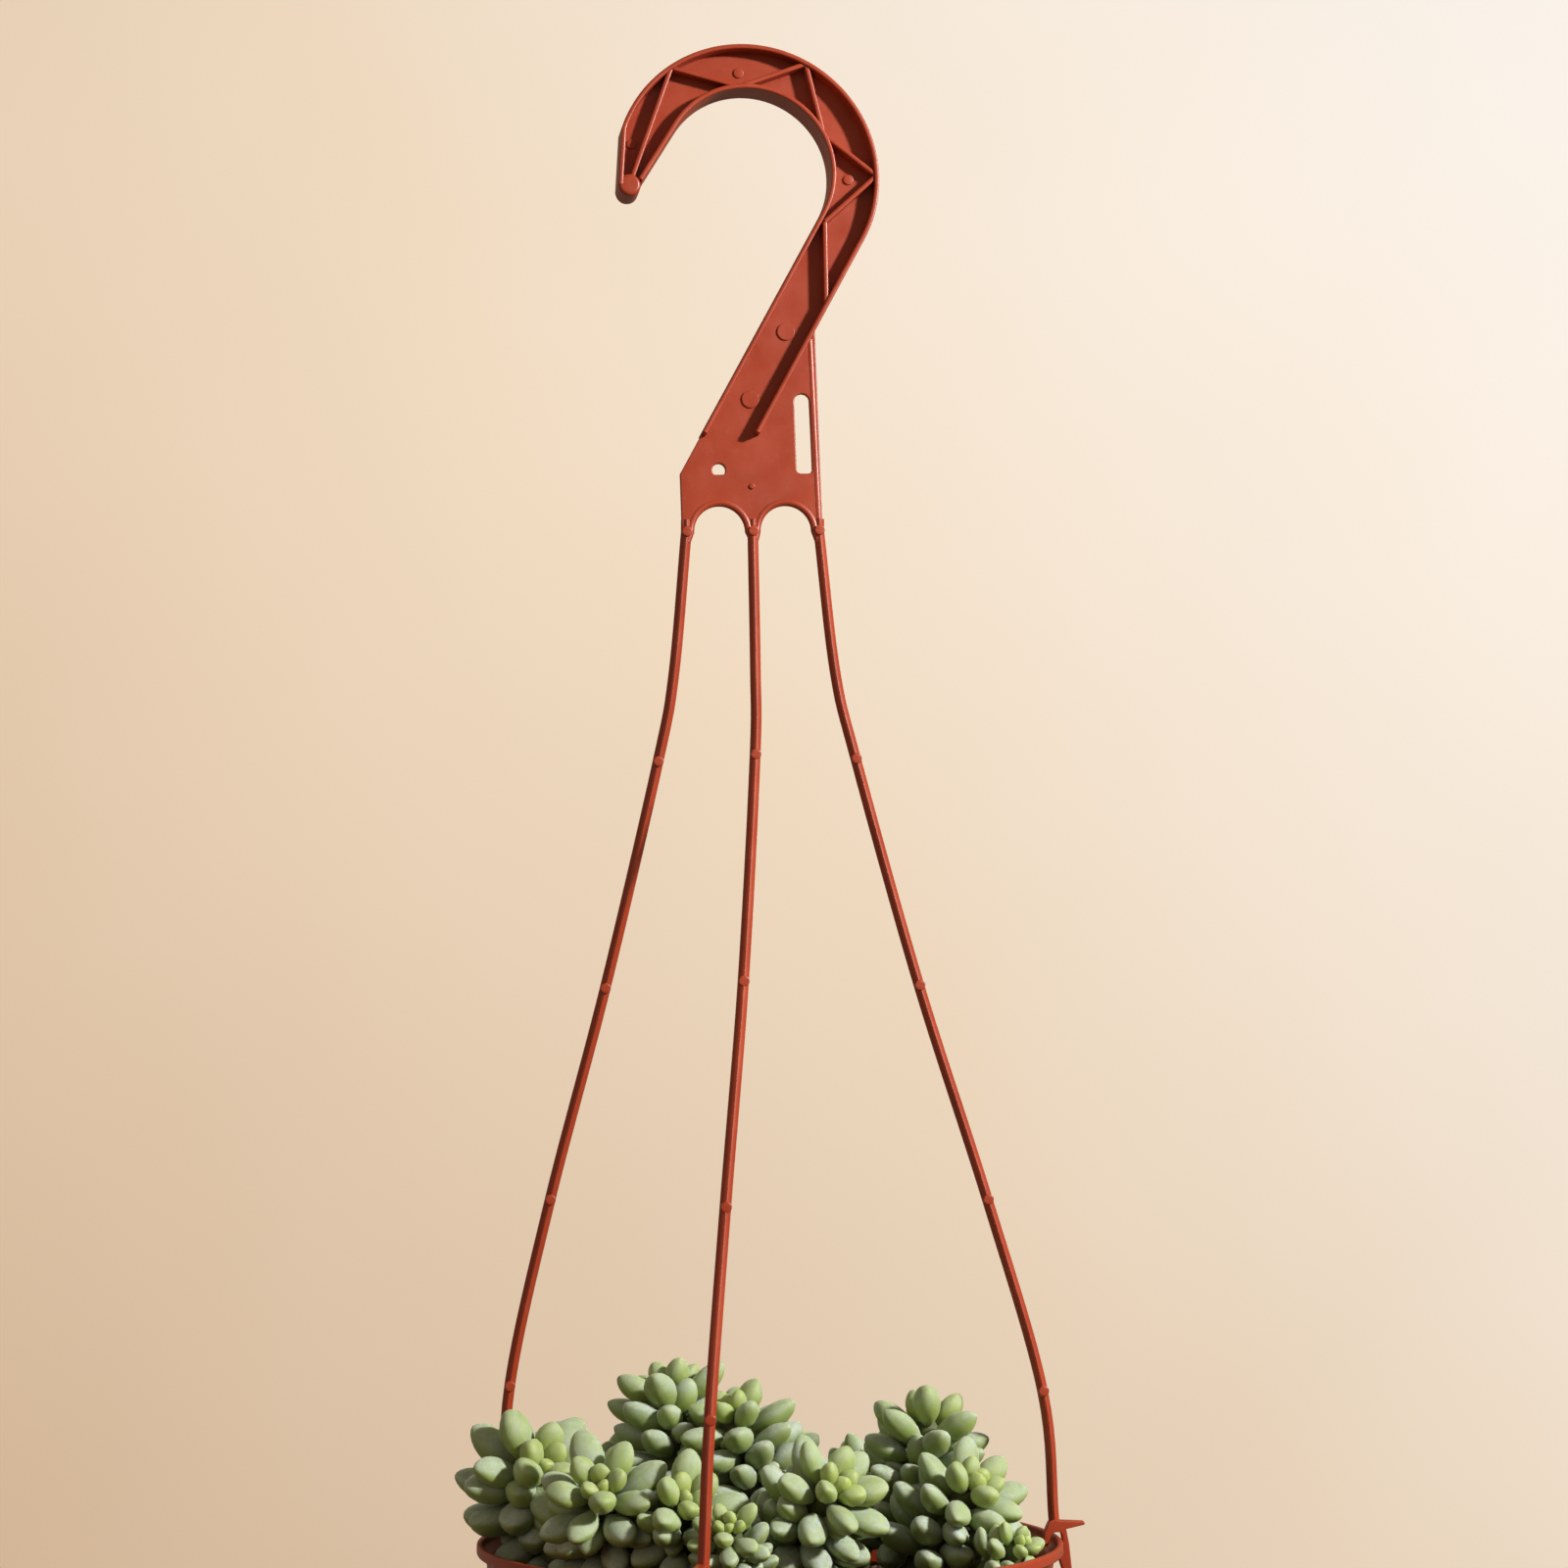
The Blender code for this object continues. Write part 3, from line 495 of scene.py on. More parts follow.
def make_hanger(finish):
    """One moulding: the web with its rims, ribs and bosses, the beads, and the strands with their clips."""
    bm = bmesh.new()
    add_plate(bm, [web_outline(), slot_outline(), tag_hole_outline()], WEB_THICKNESS, WEB_EDGE)
    add_plate(bm, [thicken(outer_rim(), RIM_THICKNESS)], HOOK_DEPTH, RIM_EDGE)
    add_plate(bm, [thicken(inner_rim(), RIM_THICKNESS)], HOOK_DEPTH - 2 * RIM_STEP, RIM_EDGE)
    add_plate(bm, [circle(TIP_CENTRE, TIP_RADIUS, 32)], HOOK_DEPTH - RIM_STEP, TIP_EDGE)
    corners = zigzag()
    for i, pair in enumerate(zip(corners, corners[1:])):
        add_plate(bm, [thicken(pair, RIM_THICKNESS)], ZIGZAG_DEPTH - RIM_STEP * (i % 2), RIM_EDGE)
    for x, z, radius in BOSSES:
        add_plate(bm, [circle((x, z), radius, 28)], 2 * BOSS_HEIGHT, BOSS_EDGE, -WEB_THICKNESS / 2)
    for bead in bead_lines():
        add_tube(bm, bead, BEAD_RADIUS)
    bm.transform(LEAN)
    for strand in STRANDS.values():
        line, stations = strand_line(strand)
        add_strand(bm, line)
        turn = math.radians(strand["clip_deg"])
        lip = POT_AXIS + Vector((LIP_RADIUS * math.sin(turn), -LIP_RADIUS * math.cos(turn), RIM_Z))
        place = Matrix.Translation(lip) @ Matrix.Rotation(turn - math.pi / 2, 4, "Z")
        add_plate(bm, [CLIP_OUTLINE], CLIP_WIDTH, CLIP_EDGE, matrix=place)
        for point in [*stations[:1], *stations[2:-1]]:
            add_plate(bm, [circle((point.x, point.z), PIP_RADIUS, 20)], PIP_HEIGHT, PIP_EDGE,
                      point.y - PIP_HEIGHT / 2)
    hanger = finish_piece("hanger_detail", bm, [finish], "hanger")
    even = hanger.modifiers.new("even_flats", "WEIGHTED_NORMAL")
    even.keep_sharp = True


# --- The pot and the soil -----------------------------------------------------------------------------

POT_PLACE = POT_AXIS + Vector((0.0, 0.0, RIM_Z))


def wall_radius(height):
    """The wall's outer radius at a height below the rim, which is negative."""
    share = (height + LIP_HEIGHT) / (LIP_HEIGHT - POT_HEIGHT)
    return WALL_TOP_RADIUS + (BASE_RADIUS - WALL_TOP_RADIUS) * share


def lathe(bm, profile, sides=POT_SIDES):
    """Adds a surface turned round Z from a profile of (radius, height) points."""
    rings = []
    for radius, height in profile:
        if radius < 1e-7:
            rings.append([bm.verts.new((0.0, 0.0, height))])
            continue
        turns = [math.tau * i / sides for i in range(sides)]
        rings.append([bm.verts.new((radius * math.cos(a), radius * math.sin(a), height)) for a in turns])
    for ring, below in zip(rings, rings[1:]):
        for i in range(sides):
            j = (i + 1) % sides
            corners = [ring[i % len(ring)], below[i % len(below)],
                       below[j % len(below)], ring[j % len(ring)]]
            bm.faces.new(list(dict.fromkeys(corners)))


def rounded(points, radius, steps=4):
    """A profile with its corners rounded, but for its first and last points."""
    path = [Vector(p) for p in points]
    line = [path[0]]
    for before, corner, after in zip(path, path[1:], path[2:]):
        reach = min(radius, (corner - before).length * 0.45, (after - corner).length * 0.45)
        start = corner + (before - corner).normalized() * reach
        end = corner + (after - corner).normalized() * reach
        for i in range(steps + 1):
            t = i / steps
            line.append(start * (1 - t) ** 2 + corner * (2 * t * (1 - t)) + end * t ** 2)
    return [tuple(p) for p in line + [path[-1]]]


def make_pot(finish):
    """A thin shell with a lip and a raised base, and drain holes cut through it."""
    floor = -POT_HEIGHT + BASE_RAISE + BASE_THICKNESS
    under_lip = -LIP_HEIGHT
    inner_top = LIP_RADIUS - LIP_THICKNESS
    profile = [
        (0.0, floor),
        (wall_radius(floor) - WALL_THICKNESS, floor),
        (WALL_TOP_RADIUS - WALL_THICKNESS, under_lip - LIP_THICKNESS),
        (inner_top, under_lip + LIP_THICKNESS / 2),
        (inner_top, 0.0),
        (LIP_RADIUS, 0.0),
        (LIP_RADIUS, under_lip),
        (WALL_TOP_RADIUS, under_lip),
        (BASE_RADIUS, -POT_HEIGHT),
        (BASE_RADIUS - 2 * BASE_RAISE, -POT_HEIGHT),
        (BASE_RADIUS - 3 * BASE_RAISE, -POT_HEIGHT + BASE_RAISE),
        (0.0, -POT_HEIGHT + BASE_RAISE),
    ]
    bm = bmesh.new()
    lathe(bm, rounded(profile, POT_EDGE))
    bmesh.ops.recalc_face_normals(bm, faces=bm.faces)
    pot_mesh = bpy.data.meshes.new("pot_solid")
    bm.to_mesh(pot_mesh)
    bm.free()
    pot = link("pot_solid", pot_mesh)
    holes = bmesh.new()
    for i in range(DRAIN_HOLES):
        a = math.tau * (i + 0.5) / DRAIN_HOLES
        middle = (DRAIN_CIRCLE_R * math.cos(a), DRAIN_CIRCLE_R * math.sin(a), -POT_HEIGHT + BASE_RAISE)
        bmesh.ops.create_cone(holes, cap_ends=True, segments=32, radius1=DRAIN_HOLE_R, radius2=DRAIN_HOLE_R,
                              depth=4 * BASE_THICKNESS, matrix=Matrix.Translation(middle))
    cutter_mesh = bpy.data.meshes.new("drain_cutter")
    holes.to_mesh(cutter_mesh)
    holes.free()
    cutter = link("drain_cutter", cutter_mesh)
    change = pot.modifiers.new("drains", "BOOLEAN")
    change.operation = "DIFFERENCE"
    change.solver = "EXACT"
    change.object = cutter
    bpy.context.view_layer.update()
    cut_mesh = bpy.data.meshes.new_from_object(pot.evaluated_get(bpy.context.evaluated_depsgraph_get()))
    for spare in (pot, cutter):
        bpy.data.objects.remove(spare)
    bm = bmesh.new()
    bm.from_mesh(cut_mesh)
    bm.transform(Matrix.Translation(POT_PLACE))
    finish_piece("pot_detail", bm, [finish], "pot")


def make_soil(finish):
    """A rough surface inside the wall, with bits of bark and perlite on it, and the block below."""
    chance = random.Random("soil")
    bm = bmesh.new()
    shade = bm.verts.layers.float.new("bit")
    bottom = -POT_HEIGHT + BASE_RAISE + BASE_THICKNESS + GAP
    radius = wall_radius(-SOIL_DEPTH) - WALL_THICKNESS - 2 * GAP
    profile = [(0.0, -SOIL_DEPTH)]
    profile += [(radius * i / SOIL_RINGS, -SOIL_DEPTH) for i in range(1, SOIL_RINGS + 1)]
    profile += [(wall_radius(bottom) - WALL_THICKNESS - 2 * GAP, bottom), (0.0, bottom)]
    lathe(bm, profile)
    for vert in bm.verts:
        if vert.co.z > -SOIL_DEPTH - 1e-6:
            place = Vector((vert.co.x, vert.co.y, 0.0))
            lumps = noise.fractal(place * SOIL_LUMPS_PER_M, 0.6, 2.0, 4)
            vert.co.z += -SOIL_SINK + SOIL_ROUGHNESS * lumps
    for _ in range(SOIL_BITS):
        out = radius * 0.97 * math.sqrt(chance.random())
        turn = chance.uniform(0, math.tau)
        size = chance.uniform(SMALLEST_BIT, LARGEST_BIT)
        place = (out * math.cos(turn), out * math.sin(turn), -SOIL_DEPTH - size * 0.4)
        stretch = Matrix.Diagonal((1.0, chance.uniform(0.5, 1.0), chance.uniform(0.35, 0.8), 1.0))
        roll = Matrix.Rotation(turn * 3, 4, "Z") @ Matrix.Rotation(chance.uniform(-0.6, 0.6), 4, "X")
        made = bmesh.ops.create_icosphere(bm, subdivisions=1, radius=size,
                                          matrix=Matrix.Translation(place) @ roll @ stretch)["verts"]
        kind = 1.0 if chance.random() < PERLITE_SHARE else chance.uniform(0.1, 0.6)
        for vert in made:
            vert.co += Vector([chance.uniform(-0.18, 0.18) * size for _ in range(3)])
            vert[shade] = kind
    bmesh.ops.recalc_face_normals(bm, faces=bm.faces)
    bm.transform(Matrix.Translation(POT_PLACE))
    finish_piece("soil_detail", bm, [finish], "soil", SOIL_SHARP_DEG)


# --- The plant ----------------------------------------------------------------------------------------

def leaf_profile(share):
    """The share of a leaf's half width at this share of its length: plump past the middle, with a tip."""
    return max(0.0, math.sin(math.pi * share ** LEAF_FULLEST)) ** LEAF_PLUMPNESS


def tail_path(root, tip, facing):
    """The stem's middle line from its root plug to its tip, as a list of close points."""
    bottom = Vector((root[0] * MM, root[1] * MM, -SOIL_DEPTH - ROOT_DEPTH))
    surface = Vector((bottom.x, bottom.y, -SOIL_DEPTH + MM))
    end = Vector(tip) * MM
    reach = (end - surface).length
    lower = surface + Vector((0, 0, reach * 0.3))
    upper = end - Vector(facing).normalized() * reach * 0.4
    line = [bottom]
    for i in range(STEM_POINTS + 1):
        t = i / STEM_POINTS
        u = 1 - t
        line.append(u ** 3 * surface + 3 * u * u * t * lower + 3 * u * t * t * upper + t ** 3 * end)
    return line


def stem_swell(line):
    """The stem's thickness along its line: thickest half way up, where leaf bases crowd it."""
    last = len(line) - 1
    swell = [1 + STEM_SWELL * math.sin(math.pi * (i - 1) / last) for i in range(2, last + 1)]
    return [1.0, 1.0, *swell]


def smooth_swell(line):
    """The stem's thickness at the close points of its smooth line."""
    last = len(line) - 1
    return [1 + STEM_SWELL * math.sin(math.pi * i / last) ** 0.8 * (0.6 + 0.4 * i / last)
            for i in range(last + 1)]


def back_from_tip(line, distance):
    """The place and the direction to the tip at this distance down a line from its last point."""
    for a, b in zip(line[::-1], line[-2::-1]):
        length = (a - b).length
        if distance <= length:
            return a.lerp(b, distance / length), (a - b).normalized()
        distance -= length
    return None


def leaf_balls(base, way, length, width):
    """Balls that fill a leaf, to keep it clear of its neighbours."""
    return [(base + way * (length * share), leaf_profile(share) * width / 2)
            for share in BALL_SHARES]


def stem_balls(line):
    """Balls that fill a stem."""
    balls = []
    shares = stem_swell(line)
    for a, b, swell, next_swell in zip(line, line[1:], shares, shares[1:]):
        steps = math.ceil((b - a).length / MM)
        for i in range(steps):
            t = i / steps
            balls.append((a.lerp(b, t), STEM_RADIUS * (swell + (next_swell - swell) * t)))
    return balls


def fixed_balls():
    """Balls that fill the strands and the clips near the leaves."""
    balls = []
    for strand in STRANDS.values():
        line, stations = strand_line(strand)
        for a, b in zip(line, line[1:]):
            steps = math.ceil((b - a).length / MM)
            balls += [(a.lerp(b, i / steps) - POT_PLACE, STRAND_RADIUS) for i in range(steps)]
        end = stations[-1] - POT_PLACE
        outward = Vector((end.x, end.y, 0)).normalized()
        balls += [(end + outward * x - Vector((0, 0, z)), CLIP_BALL_R)
                  for x in (-0.0015, 0.0, 0.0015) for z in (0.001, 0.003, 0.005)]
        balls += [(end + outward * x, TAB_BALL_R) for x in (0.003, 0.005, 0.007)]
    return balls


def clear_of_pot(centre, radius):
    """Whether a ball keeps clear of the soil, the lip and the wall."""
    across = math.hypot(centre.x, centre.y)
    radius += GAP
    if centre.z - radius < -SOIL_DEPTH and across < WALL_TOP_RADIUS:
        return False
    if math.hypot(across - LIP_RADIUS + LIP_THICKNESS / 2, centre.z + LIP_HEIGHT / 2) < radius + LIP_BALL_R:
        return False
    inside = WALL_TOP_RADIUS - WALL_THICKNESS
    return not (centre.z < 0 and inside - radius < across < LIP_RADIUS + radius)


def age_of(i):
    """The age of a tail's leaf by its number from the tip, from 0 to 1."""
    return min(1.0, i / MOST_LEAVES * AGEING)


def apart(balls, others, firmness=1.0, gap=0.0):
    """Whether every ball keeps clear of all the others, each shrunk to its firm part."""
    return not any((centre - other).length < (radius + reach) * firmness + gap
                   for centre, radius in balls for other, reach in others)


def grow_leaves(name, line, leaf_length, spin, taken):
    """The leaves of one tail, each turned or left out where hindered.

    A leaf is (base, direction, length, width, direction to the tip, age).
    """
    chance = random.Random(name)
    leaves = []
    own = []
    distance = 0.0
    for i in range(MOST_LEAVES):
        grown = min(1.0, (i + 1) / LEAVES_TO_FULL)
        distance += LEAF_SPACING * (0.1 + 0.9 * grown ** 2)
        found = back_from_tip(line, distance)
        if not found or found[0].z < -SOIL_DEPTH + LOWEST_LEAF:
            break
        place, to_tip = found
        side = to_tip.orthogonal().normalized()
        side.rotate(Matrix.Rotation(spin + i * GOLDEN_ANGLE, 3, to_tip))
        length = leaf_length * (TIP_LEAF_SHARE + (1 - TIP_LEAF_SHARE) * grown) * chance.uniform(0.92, 1.06)
        plumpness = TIP_LEAF_WIDTH + (LEAF_WIDTH - TIP_LEAF_WIDTH) * grown
        width = length * plumpness * chance.uniform(0.93, 1.07)
        spread = TIP_SPREAD + (FULL_SPREAD - TIP_SPREAD) * grown ** 0.85 + DROOP * i / MOST_LEAVES
        spread = math.radians(spread + chance.uniform(-6, 6))
        for turn, share in LEAF_CHOICES:
            angle = spread * turn
            way = to_tip * math.cos(angle) + side * math.sin(angle)
            base = place + side * (STEM_RADIUS * grown)
            balls = leaf_balls(base, way, length * share, width * share)
            if (all(clear_of_pot(*ball) for ball in balls) and apart(balls, taken, gap=2 * GAP)
                    and apart(balls, own, LEAF_FIRMNESS)):
                own += balls
                leaves.append((base, way, length * share, width * share, to_tip, age_of(i)))
                break
    return leaves


def small_leaves(name, line, leaf_length, taken):
    """Smaller leaves in the free places between the grown leaves of one tail."""
    chance = random.Random(name + "_small")
    taken = list(taken)
    leaves = []
    for i in range(SMALL_LEAF_TRIES):
        distance = SMALL_LEAF_START + SMALL_LEAF_SPACING * i
        found = back_from_tip(line, distance)
        if not found or found[0].z < -SOIL_DEPTH + LOWEST_LEAF:
            break
        place, to_tip = found
        near = [ball for ball in taken if (ball[0] - place).length < LEAF_REACH * leaf_length]
        side = to_tip.orthogonal().normalized()
        side.rotate(Matrix.Rotation(i * GOLDEN_ANGLE, 3, to_tip))
        for turn, share in SMALL_LEAF_CHOICES:
            length = leaf_length * share * chance.uniform(0.92, 1.08)
            width = length * LEAF_WIDTH * chance.uniform(1.0, 1.15)
            angle = math.radians(FULL_SPREAD * turn)
            way = to_tip * math.cos(angle) + side * math.sin(angle)
            base = place + side * STEM_RADIUS
            balls = leaf_balls(base, way, length, width)
            if all(clear_of_pot(*ball) for ball in balls) and apart(balls, near, SMALL_LEAF_FIRMNESS):
                taken += balls
                leaves.append((base, way, length, width, to_tip, age_of(distance / LEAF_SPACING)))
                break
    return leaves


def leaf_form(share, bluntness):
    """As leaf_profile, with a blunter tip where the bluntness is over 0."""
    return max(0.0, math.sin(math.pi * share ** LEAF_FULLEST)) ** (LEAF_PLUMPNESS - bluntness * share)


def add_leaf(bm, marks, leaf, chance):
    """Adds one smooth leaf: flatter on top, faintly three-sided near its tip and curved inwards."""
    base, way, length, width, to_tip, age = leaf
    up = to_tip - way * to_tip.dot(way)
    up = up.normalized() if up.length > 1e-4 else way.orthogonal().normalized()
    side = way.cross(up)
    bend = length * chance.uniform(0.02, 0.09)
    ridge = chance.uniform(0.05, 0.12)
    skew = chance.uniform(-0.3, 0.3)
    tint = chance.random()
    bluntness = chance.uniform(0.0, 0.09)
    rings = []
    for k in range(LEAF_RINGS + 1):
        share = 0.5 - 0.5 * math.cos(math.pi * k / LEAF_RINGS)
        reach = leaf_form(share, bluntness) * width / 2
        middle = base + way * (length * share) + up * (bend * share * share)
        ring = []
        for j in range(LEAF_SIDES if 0 < k < LEAF_RINGS else 1):
            a = math.tau * j / LEAF_SIDES
            lobe = 1 + ridge * share ** 2 * math.cos(3 * (a + math.pi / 2 + skew))
            across = side * (math.cos(a) * reach * lobe)
            thickness = UPPER_THICKNESS if a < math.pi else LOWER_THICKNESS
            through = up * (math.sin(a) * reach * lobe * LEAF_THICKNESS * thickness)
            vert = bm.verts.new(middle + across + through if 0 < k < LEAF_RINGS else middle)
            for mark, value in zip(marks, (age, share, tint)):
                vert[mark] = value
            ring.append(vert)
        rings.append(ring)
    for ring, beyond in zip(rings, rings[1:]):
        for j in range(LEAF_SIDES):
            n = (j + 1) % LEAF_SIDES
            corners = [ring[j % len(ring)], ring[n % len(ring)],
                       beyond[n % len(beyond)], beyond[j % len(beyond)]]
            bm.faces.new(list(dict.fromkeys(corners)))


def make_tails(leaf_finish, stem_finish):
    """The tails: every leaf finds its place first, then each tail becomes one piece."""
    taken = fixed_balls()
    lines = {name: tail_path(*tail[:3]) for name, tail in TAILS.items()}
    grown = {}
    for name, (*_, leaf_mm, spin_deg) in TAILS.items():
        others = [ball for other in TAILS if other != name for ball in stem_balls(lines[other])]
        grown[name] = grow_leaves(name, lines[name], leaf_mm * MM, math.radians(spin_deg), taken + others)
        taken += [ball for leaf in grown[name] for ball in leaf_balls(*leaf[:4])]
    for name, (*_, leaf_mm, _) in TAILS.items():
        small = small_leaves(name, lines[name], leaf_mm * MM, taken)
        taken += [ball for leaf in small for ball in leaf_balls(*leaf[:4])]
        grown[name] += small
    for name, leaves in grown.items():
        chance = random.Random(name + "_looks")
        bm = bmesh.new()
        marks = [bm.verts.layers.float.new(word) for word in ("age", "along", "tint")]
        for leaf in leaves:
            add_leaf(bm, marks, leaf, chance)
        leaf_faces = len(bm.faces)
        line = lines[name]
        smooth = [line[0], *smooth_line(line[1:], STEM_STEP)]
        add_tube(bm, smooth, STEM_RADIUS, smooth_swell(smooth), 6)
        bm.faces.ensure_lookup_table()
        for face in bm.faces[leaf_faces:]:
            face.material_index = 1
        bm.transform(Matrix.Translation(POT_PLACE))
        bmesh.ops.recalc_face_normals(bm, faces=bm.faces)
        finish_piece(name + "_detail", bm, [leaf_finish, stem_finish], name,
                     PLANT_SHARP_DEG)


# --- Materials ----------------------------------------------------------------------------------------

class Looks:
    """A material that is put together node by node."""

    def __init__(self, name):
        self.material = bpy.data.materials.new(name)
        self.material.use_nodes = True
        self.tree = self.material.node_tree
        self.shader = self.tree.nodes["Principled BSDF"]
        self.place = self.add("ShaderNodeTexCoord").outputs["Object"]

    def add(self, kind, values=(), **settings):
        """A new node of this kind, with its inputs' values and its settings."""
        made = self.tree.nodes.new(kind)
        for name, value in settings.items():
            setattr(made, name, value)
        for key, value in dict(values).items():
            self.put(made.inputs[key], value)
        return made

    def put(self, socket, value):
        """Links a socket to the input, or sets the input's value."""
        if isinstance(value, bpy.types.NodeSocket):
            self.tree.links.new(value, socket)
        else:
            socket.default_value = value

    def noise(self, scale, detail, roughness, distortion=0.0):
        values = {"Vector": self.place, "Scale": scale, "Detail": detail, "Roughness": roughness,
                  "Distortion": distortion}
        return self.add("ShaderNodeTexNoise", values).outputs["Fac"]

    def mark(self, name):
        """The value that the mesh holds under this name."""
        return self.add("ShaderNodeAttribute", attribute_name=name).outputs["Fac"]

    def upward(self):
        """How far the surface faces up, from -1 to 1."""
        normal = self.add("ShaderNodeTexCoord").outputs["Normal"]
        return self.add("ShaderNodeSeparateXYZ", {"Vector": normal}).outputs["Z"]

    def ramp(self, factor, stops):
        """The colour at this factor, between stops of (factor, colour)."""
        made = self.add("ShaderNodeValToRGB", {"Fac": factor})
        elements = made.color_ramp.elements
        while len(elements) < len(stops):
            elements.new(0.5)
        for element, (at, colour) in zip(elements, stops):
            element.position = at
            element.color = (*colour, 1.0)
        return made.outputs["Color"]

    def spread(self, factor, low, high, to_low=0.0, to_high=1.0):
        """The factor stretched from one range to another, and kept inside it."""
        values = {"Value": factor, "From Min": low, "From Max": high, "To Min": to_low, "To Max": to_high}
        return self.add("ShaderNodeMapRange", values).outputs["Result"]

    def mix(self, factor, first, second):
        """The first colour, with this share of the second. A mix node's colours are its inputs 6 and 7."""
        made = self.add("ShaderNodeMix", data_type="RGBA")
        self.put(made.inputs[0], factor)
        self.put(made.inputs[6], first)
        self.put(made.inputs[7], (*second, 1.0) if isinstance(second, tuple) else second)
        return made.outputs[2]

    def maths(self, operation, first, second):
        return self.add("ShaderNodeMath", {0: first, 1: second}, operation=operation).outputs[0]

    def bump(self, height, distance, strength=1.0, normal=None):
        made = self.add("ShaderNodeBump", {"Height": height, "Distance": distance, "Strength": strength})
        if normal:
            self.put(made.inputs["Normal"], normal)
        return made.outputs["Normal"]

    def finish(self, **values):
        """Sets the shader's inputs, written with _ for a space, and gives the material."""
        for key, value in values.items():
            self.put(self.shader.inputs[key.replace("_", " ")], value)
        return self.material


def plastic_looks():
    """Moulded terracotta plastic: a faint mottle, a fine grain, and a little dust."""
    looks = Looks("terracotta_plastic_moulded")
    mottle = looks.spread(looks.noise(38, 5, 0.6), 0.3, 0.7)
    colour = looks.ramp(mottle, [(0.0, (0.250, 0.0255, 0.006)), (0.5, (0.285, 0.0315, 0.008)),
                                 (1.0, (0.323, 0.041, 0.011))])
    dust = looks.spread(looks.noise(210, 6, 0.7), 0.56, 0.78, 0.0, 0.10)
    colour = looks.mix(dust, colour, (0.50, 0.20, 0.14))
    grain = looks.noise(2600, 2, 0.5)
    waves = looks.noise(90, 3, 0.5)
    roughness = looks.spread(looks.noise(150, 4, 0.6), 0.3, 0.7, 0.36, 0.50)
    normal = looks.bump(grain, 0.00003, 0.5, looks.bump(waves, 0.0003, 0.35))
    return looks.finish(Base_Color=colour, Roughness=roughness, Normal=normal, Specular_IOR_Level=0.42,
                        Coat_Weight=0.2, Coat_Roughness=0.3)


def leaf_looks():
    """A plump waxy leaf: lime at the heart, grey-green when full grown, rubbed powder, painted light on
    top, painted shade at the base.
    """
    looks = Looks("burros_tail_leaf_waxy")
    age = looks.mark("age")
    along = looks.mark("along")
    young = looks.ramp(age, [(0.0, (0.37, 0.46, 0.09)), (0.25, (0.29, 0.39, 0.075)),
                             (0.7, (0.21, 0.29, 0.055)), (1.0, (0.175, 0.235, 0.042))])
    tint = looks.spread(looks.mark("tint"), 0.0, 1.0, 0.0, 0.35)
    varied = looks.mix(tint, young, (0.22, 0.25, 0.045))
    clouds = looks.spread(looks.noise(160, 4, 0.6), 0.35, 0.7, 0.0, 0.4)
    cloudy = looks.mix(clouds, varied, (0.12, 0.185, 0.022))
    rubbed = looks.spread(looks.noise(230, 5, 0.62, distortion=0.6), 0.38, 0.62, 0.52, 0.95)
    grainy = looks.spread(looks.noise(1400, 3, 0.6), 0.3, 0.7, 0.72, 1.15)
    bloom_and_painted_light = looks.maths("MULTIPLY", rubbed, grainy)
    bloom_and_painted_light = looks.maths("MULTIPLY", bloom_and_painted_light, looks.spread(age, 0.0, 0.7, 0.30, 1.0))
    # Painted light and shade: the waxy powder thins on faces that turn down, so tops look paler and
    # undersides deeper green, as if lit from above.
    bloom_and_painted_light = looks.maths("MULTIPLY", bloom_and_painted_light, looks.spread(looks.upward(), -0.45, 0.25, 0.12, 1.0))
    powdered_and_painted_light = looks.mix(bloom_and_painted_light, cloudy, (0.40, 0.475, 0.455))
    tip = looks.maths("MULTIPLY", looks.spread(along, 0.965, 1.0, 0.0, 0.30), age)
    tipped = looks.mix(tip, powdered_and_painted_light, (0.33, 0.22, 0.11))
    # Painted shade: each leaf darkens towards its base, where its neighbours crowd round and shade it.
    root = looks.spread(along, 0.02, 0.28, 0.7, 0.0)
    colour = looks.mix(root, tipped, (0.09, 0.11, 0.025))
    roughness = looks.spread(bloom_and_painted_light, 0.1, 0.5, 0.46, 0.72)
    speckle = looks.noise(1500, 3, 0.6)
    dents = looks.noise(260, 2, 0.5)
    normal = looks.bump(speckle, 0.00005, 0.6, looks.bump(dents, 0.0005, 0.4))
    return looks.finish(Base_Color=colour, Roughness=roughness, Normal=normal, Subsurface_Weight=0.45,
                        Subsurface_Radius=(0.8, 1.0, 0.15), Subsurface_Scale=0.003, Specular_IOR_Level=0.42,
                        Sheen_Weight=0.08, Sheen_Roughness=0.5)


def stem_looks():
    """The stem: green-brown and mottled, with a fine bump."""
    looks = Looks("burros_tail_stem")
    colour = looks.ramp(looks.noise(240, 5, 0.6), [(0.3, (0.05, 0.075, 0.02)), (0.7, (0.10, 0.11, 0.04))])
    normal = looks.bump(looks.noise(900, 4, 0.6), 0.0003, 0.6)
    return looks.finish(Base_Color=colour, Roughness=0.7, Normal=normal)


def soil_looks():
    """Damp potting mix with bits of bark and perlite."""
    looks = Looks("potting_soil_loose")
    ground = looks.ramp(looks.noise(700, 8, 0.7), [(0.3, (0.012, 0.008, 0.005)),
                                                   (0.5, (0.035, 0.022, 0.014)),
                                                   (0.75, (0.075, 0.048, 0.030))])
    bits = looks.ramp(looks.mark("bit"), [(0.0, (0.03, 0.02, 0.012)), (0.5, (0.11, 0.06, 0.032)),
                                          (0.85, (0.20, 0.13, 0.08)), (0.95, (0.62, 0.60, 0.56))])
    colour = looks.mix(looks.spread(looks.mark("bit"), 0.0, 0.08), ground, bits)
    normal = looks.bump(looks.noise(1400, 8, 0.75), 0.0007, 0.9)
    return looks.finish(Base_Color=colour, Roughness=0.93, Normal=normal)


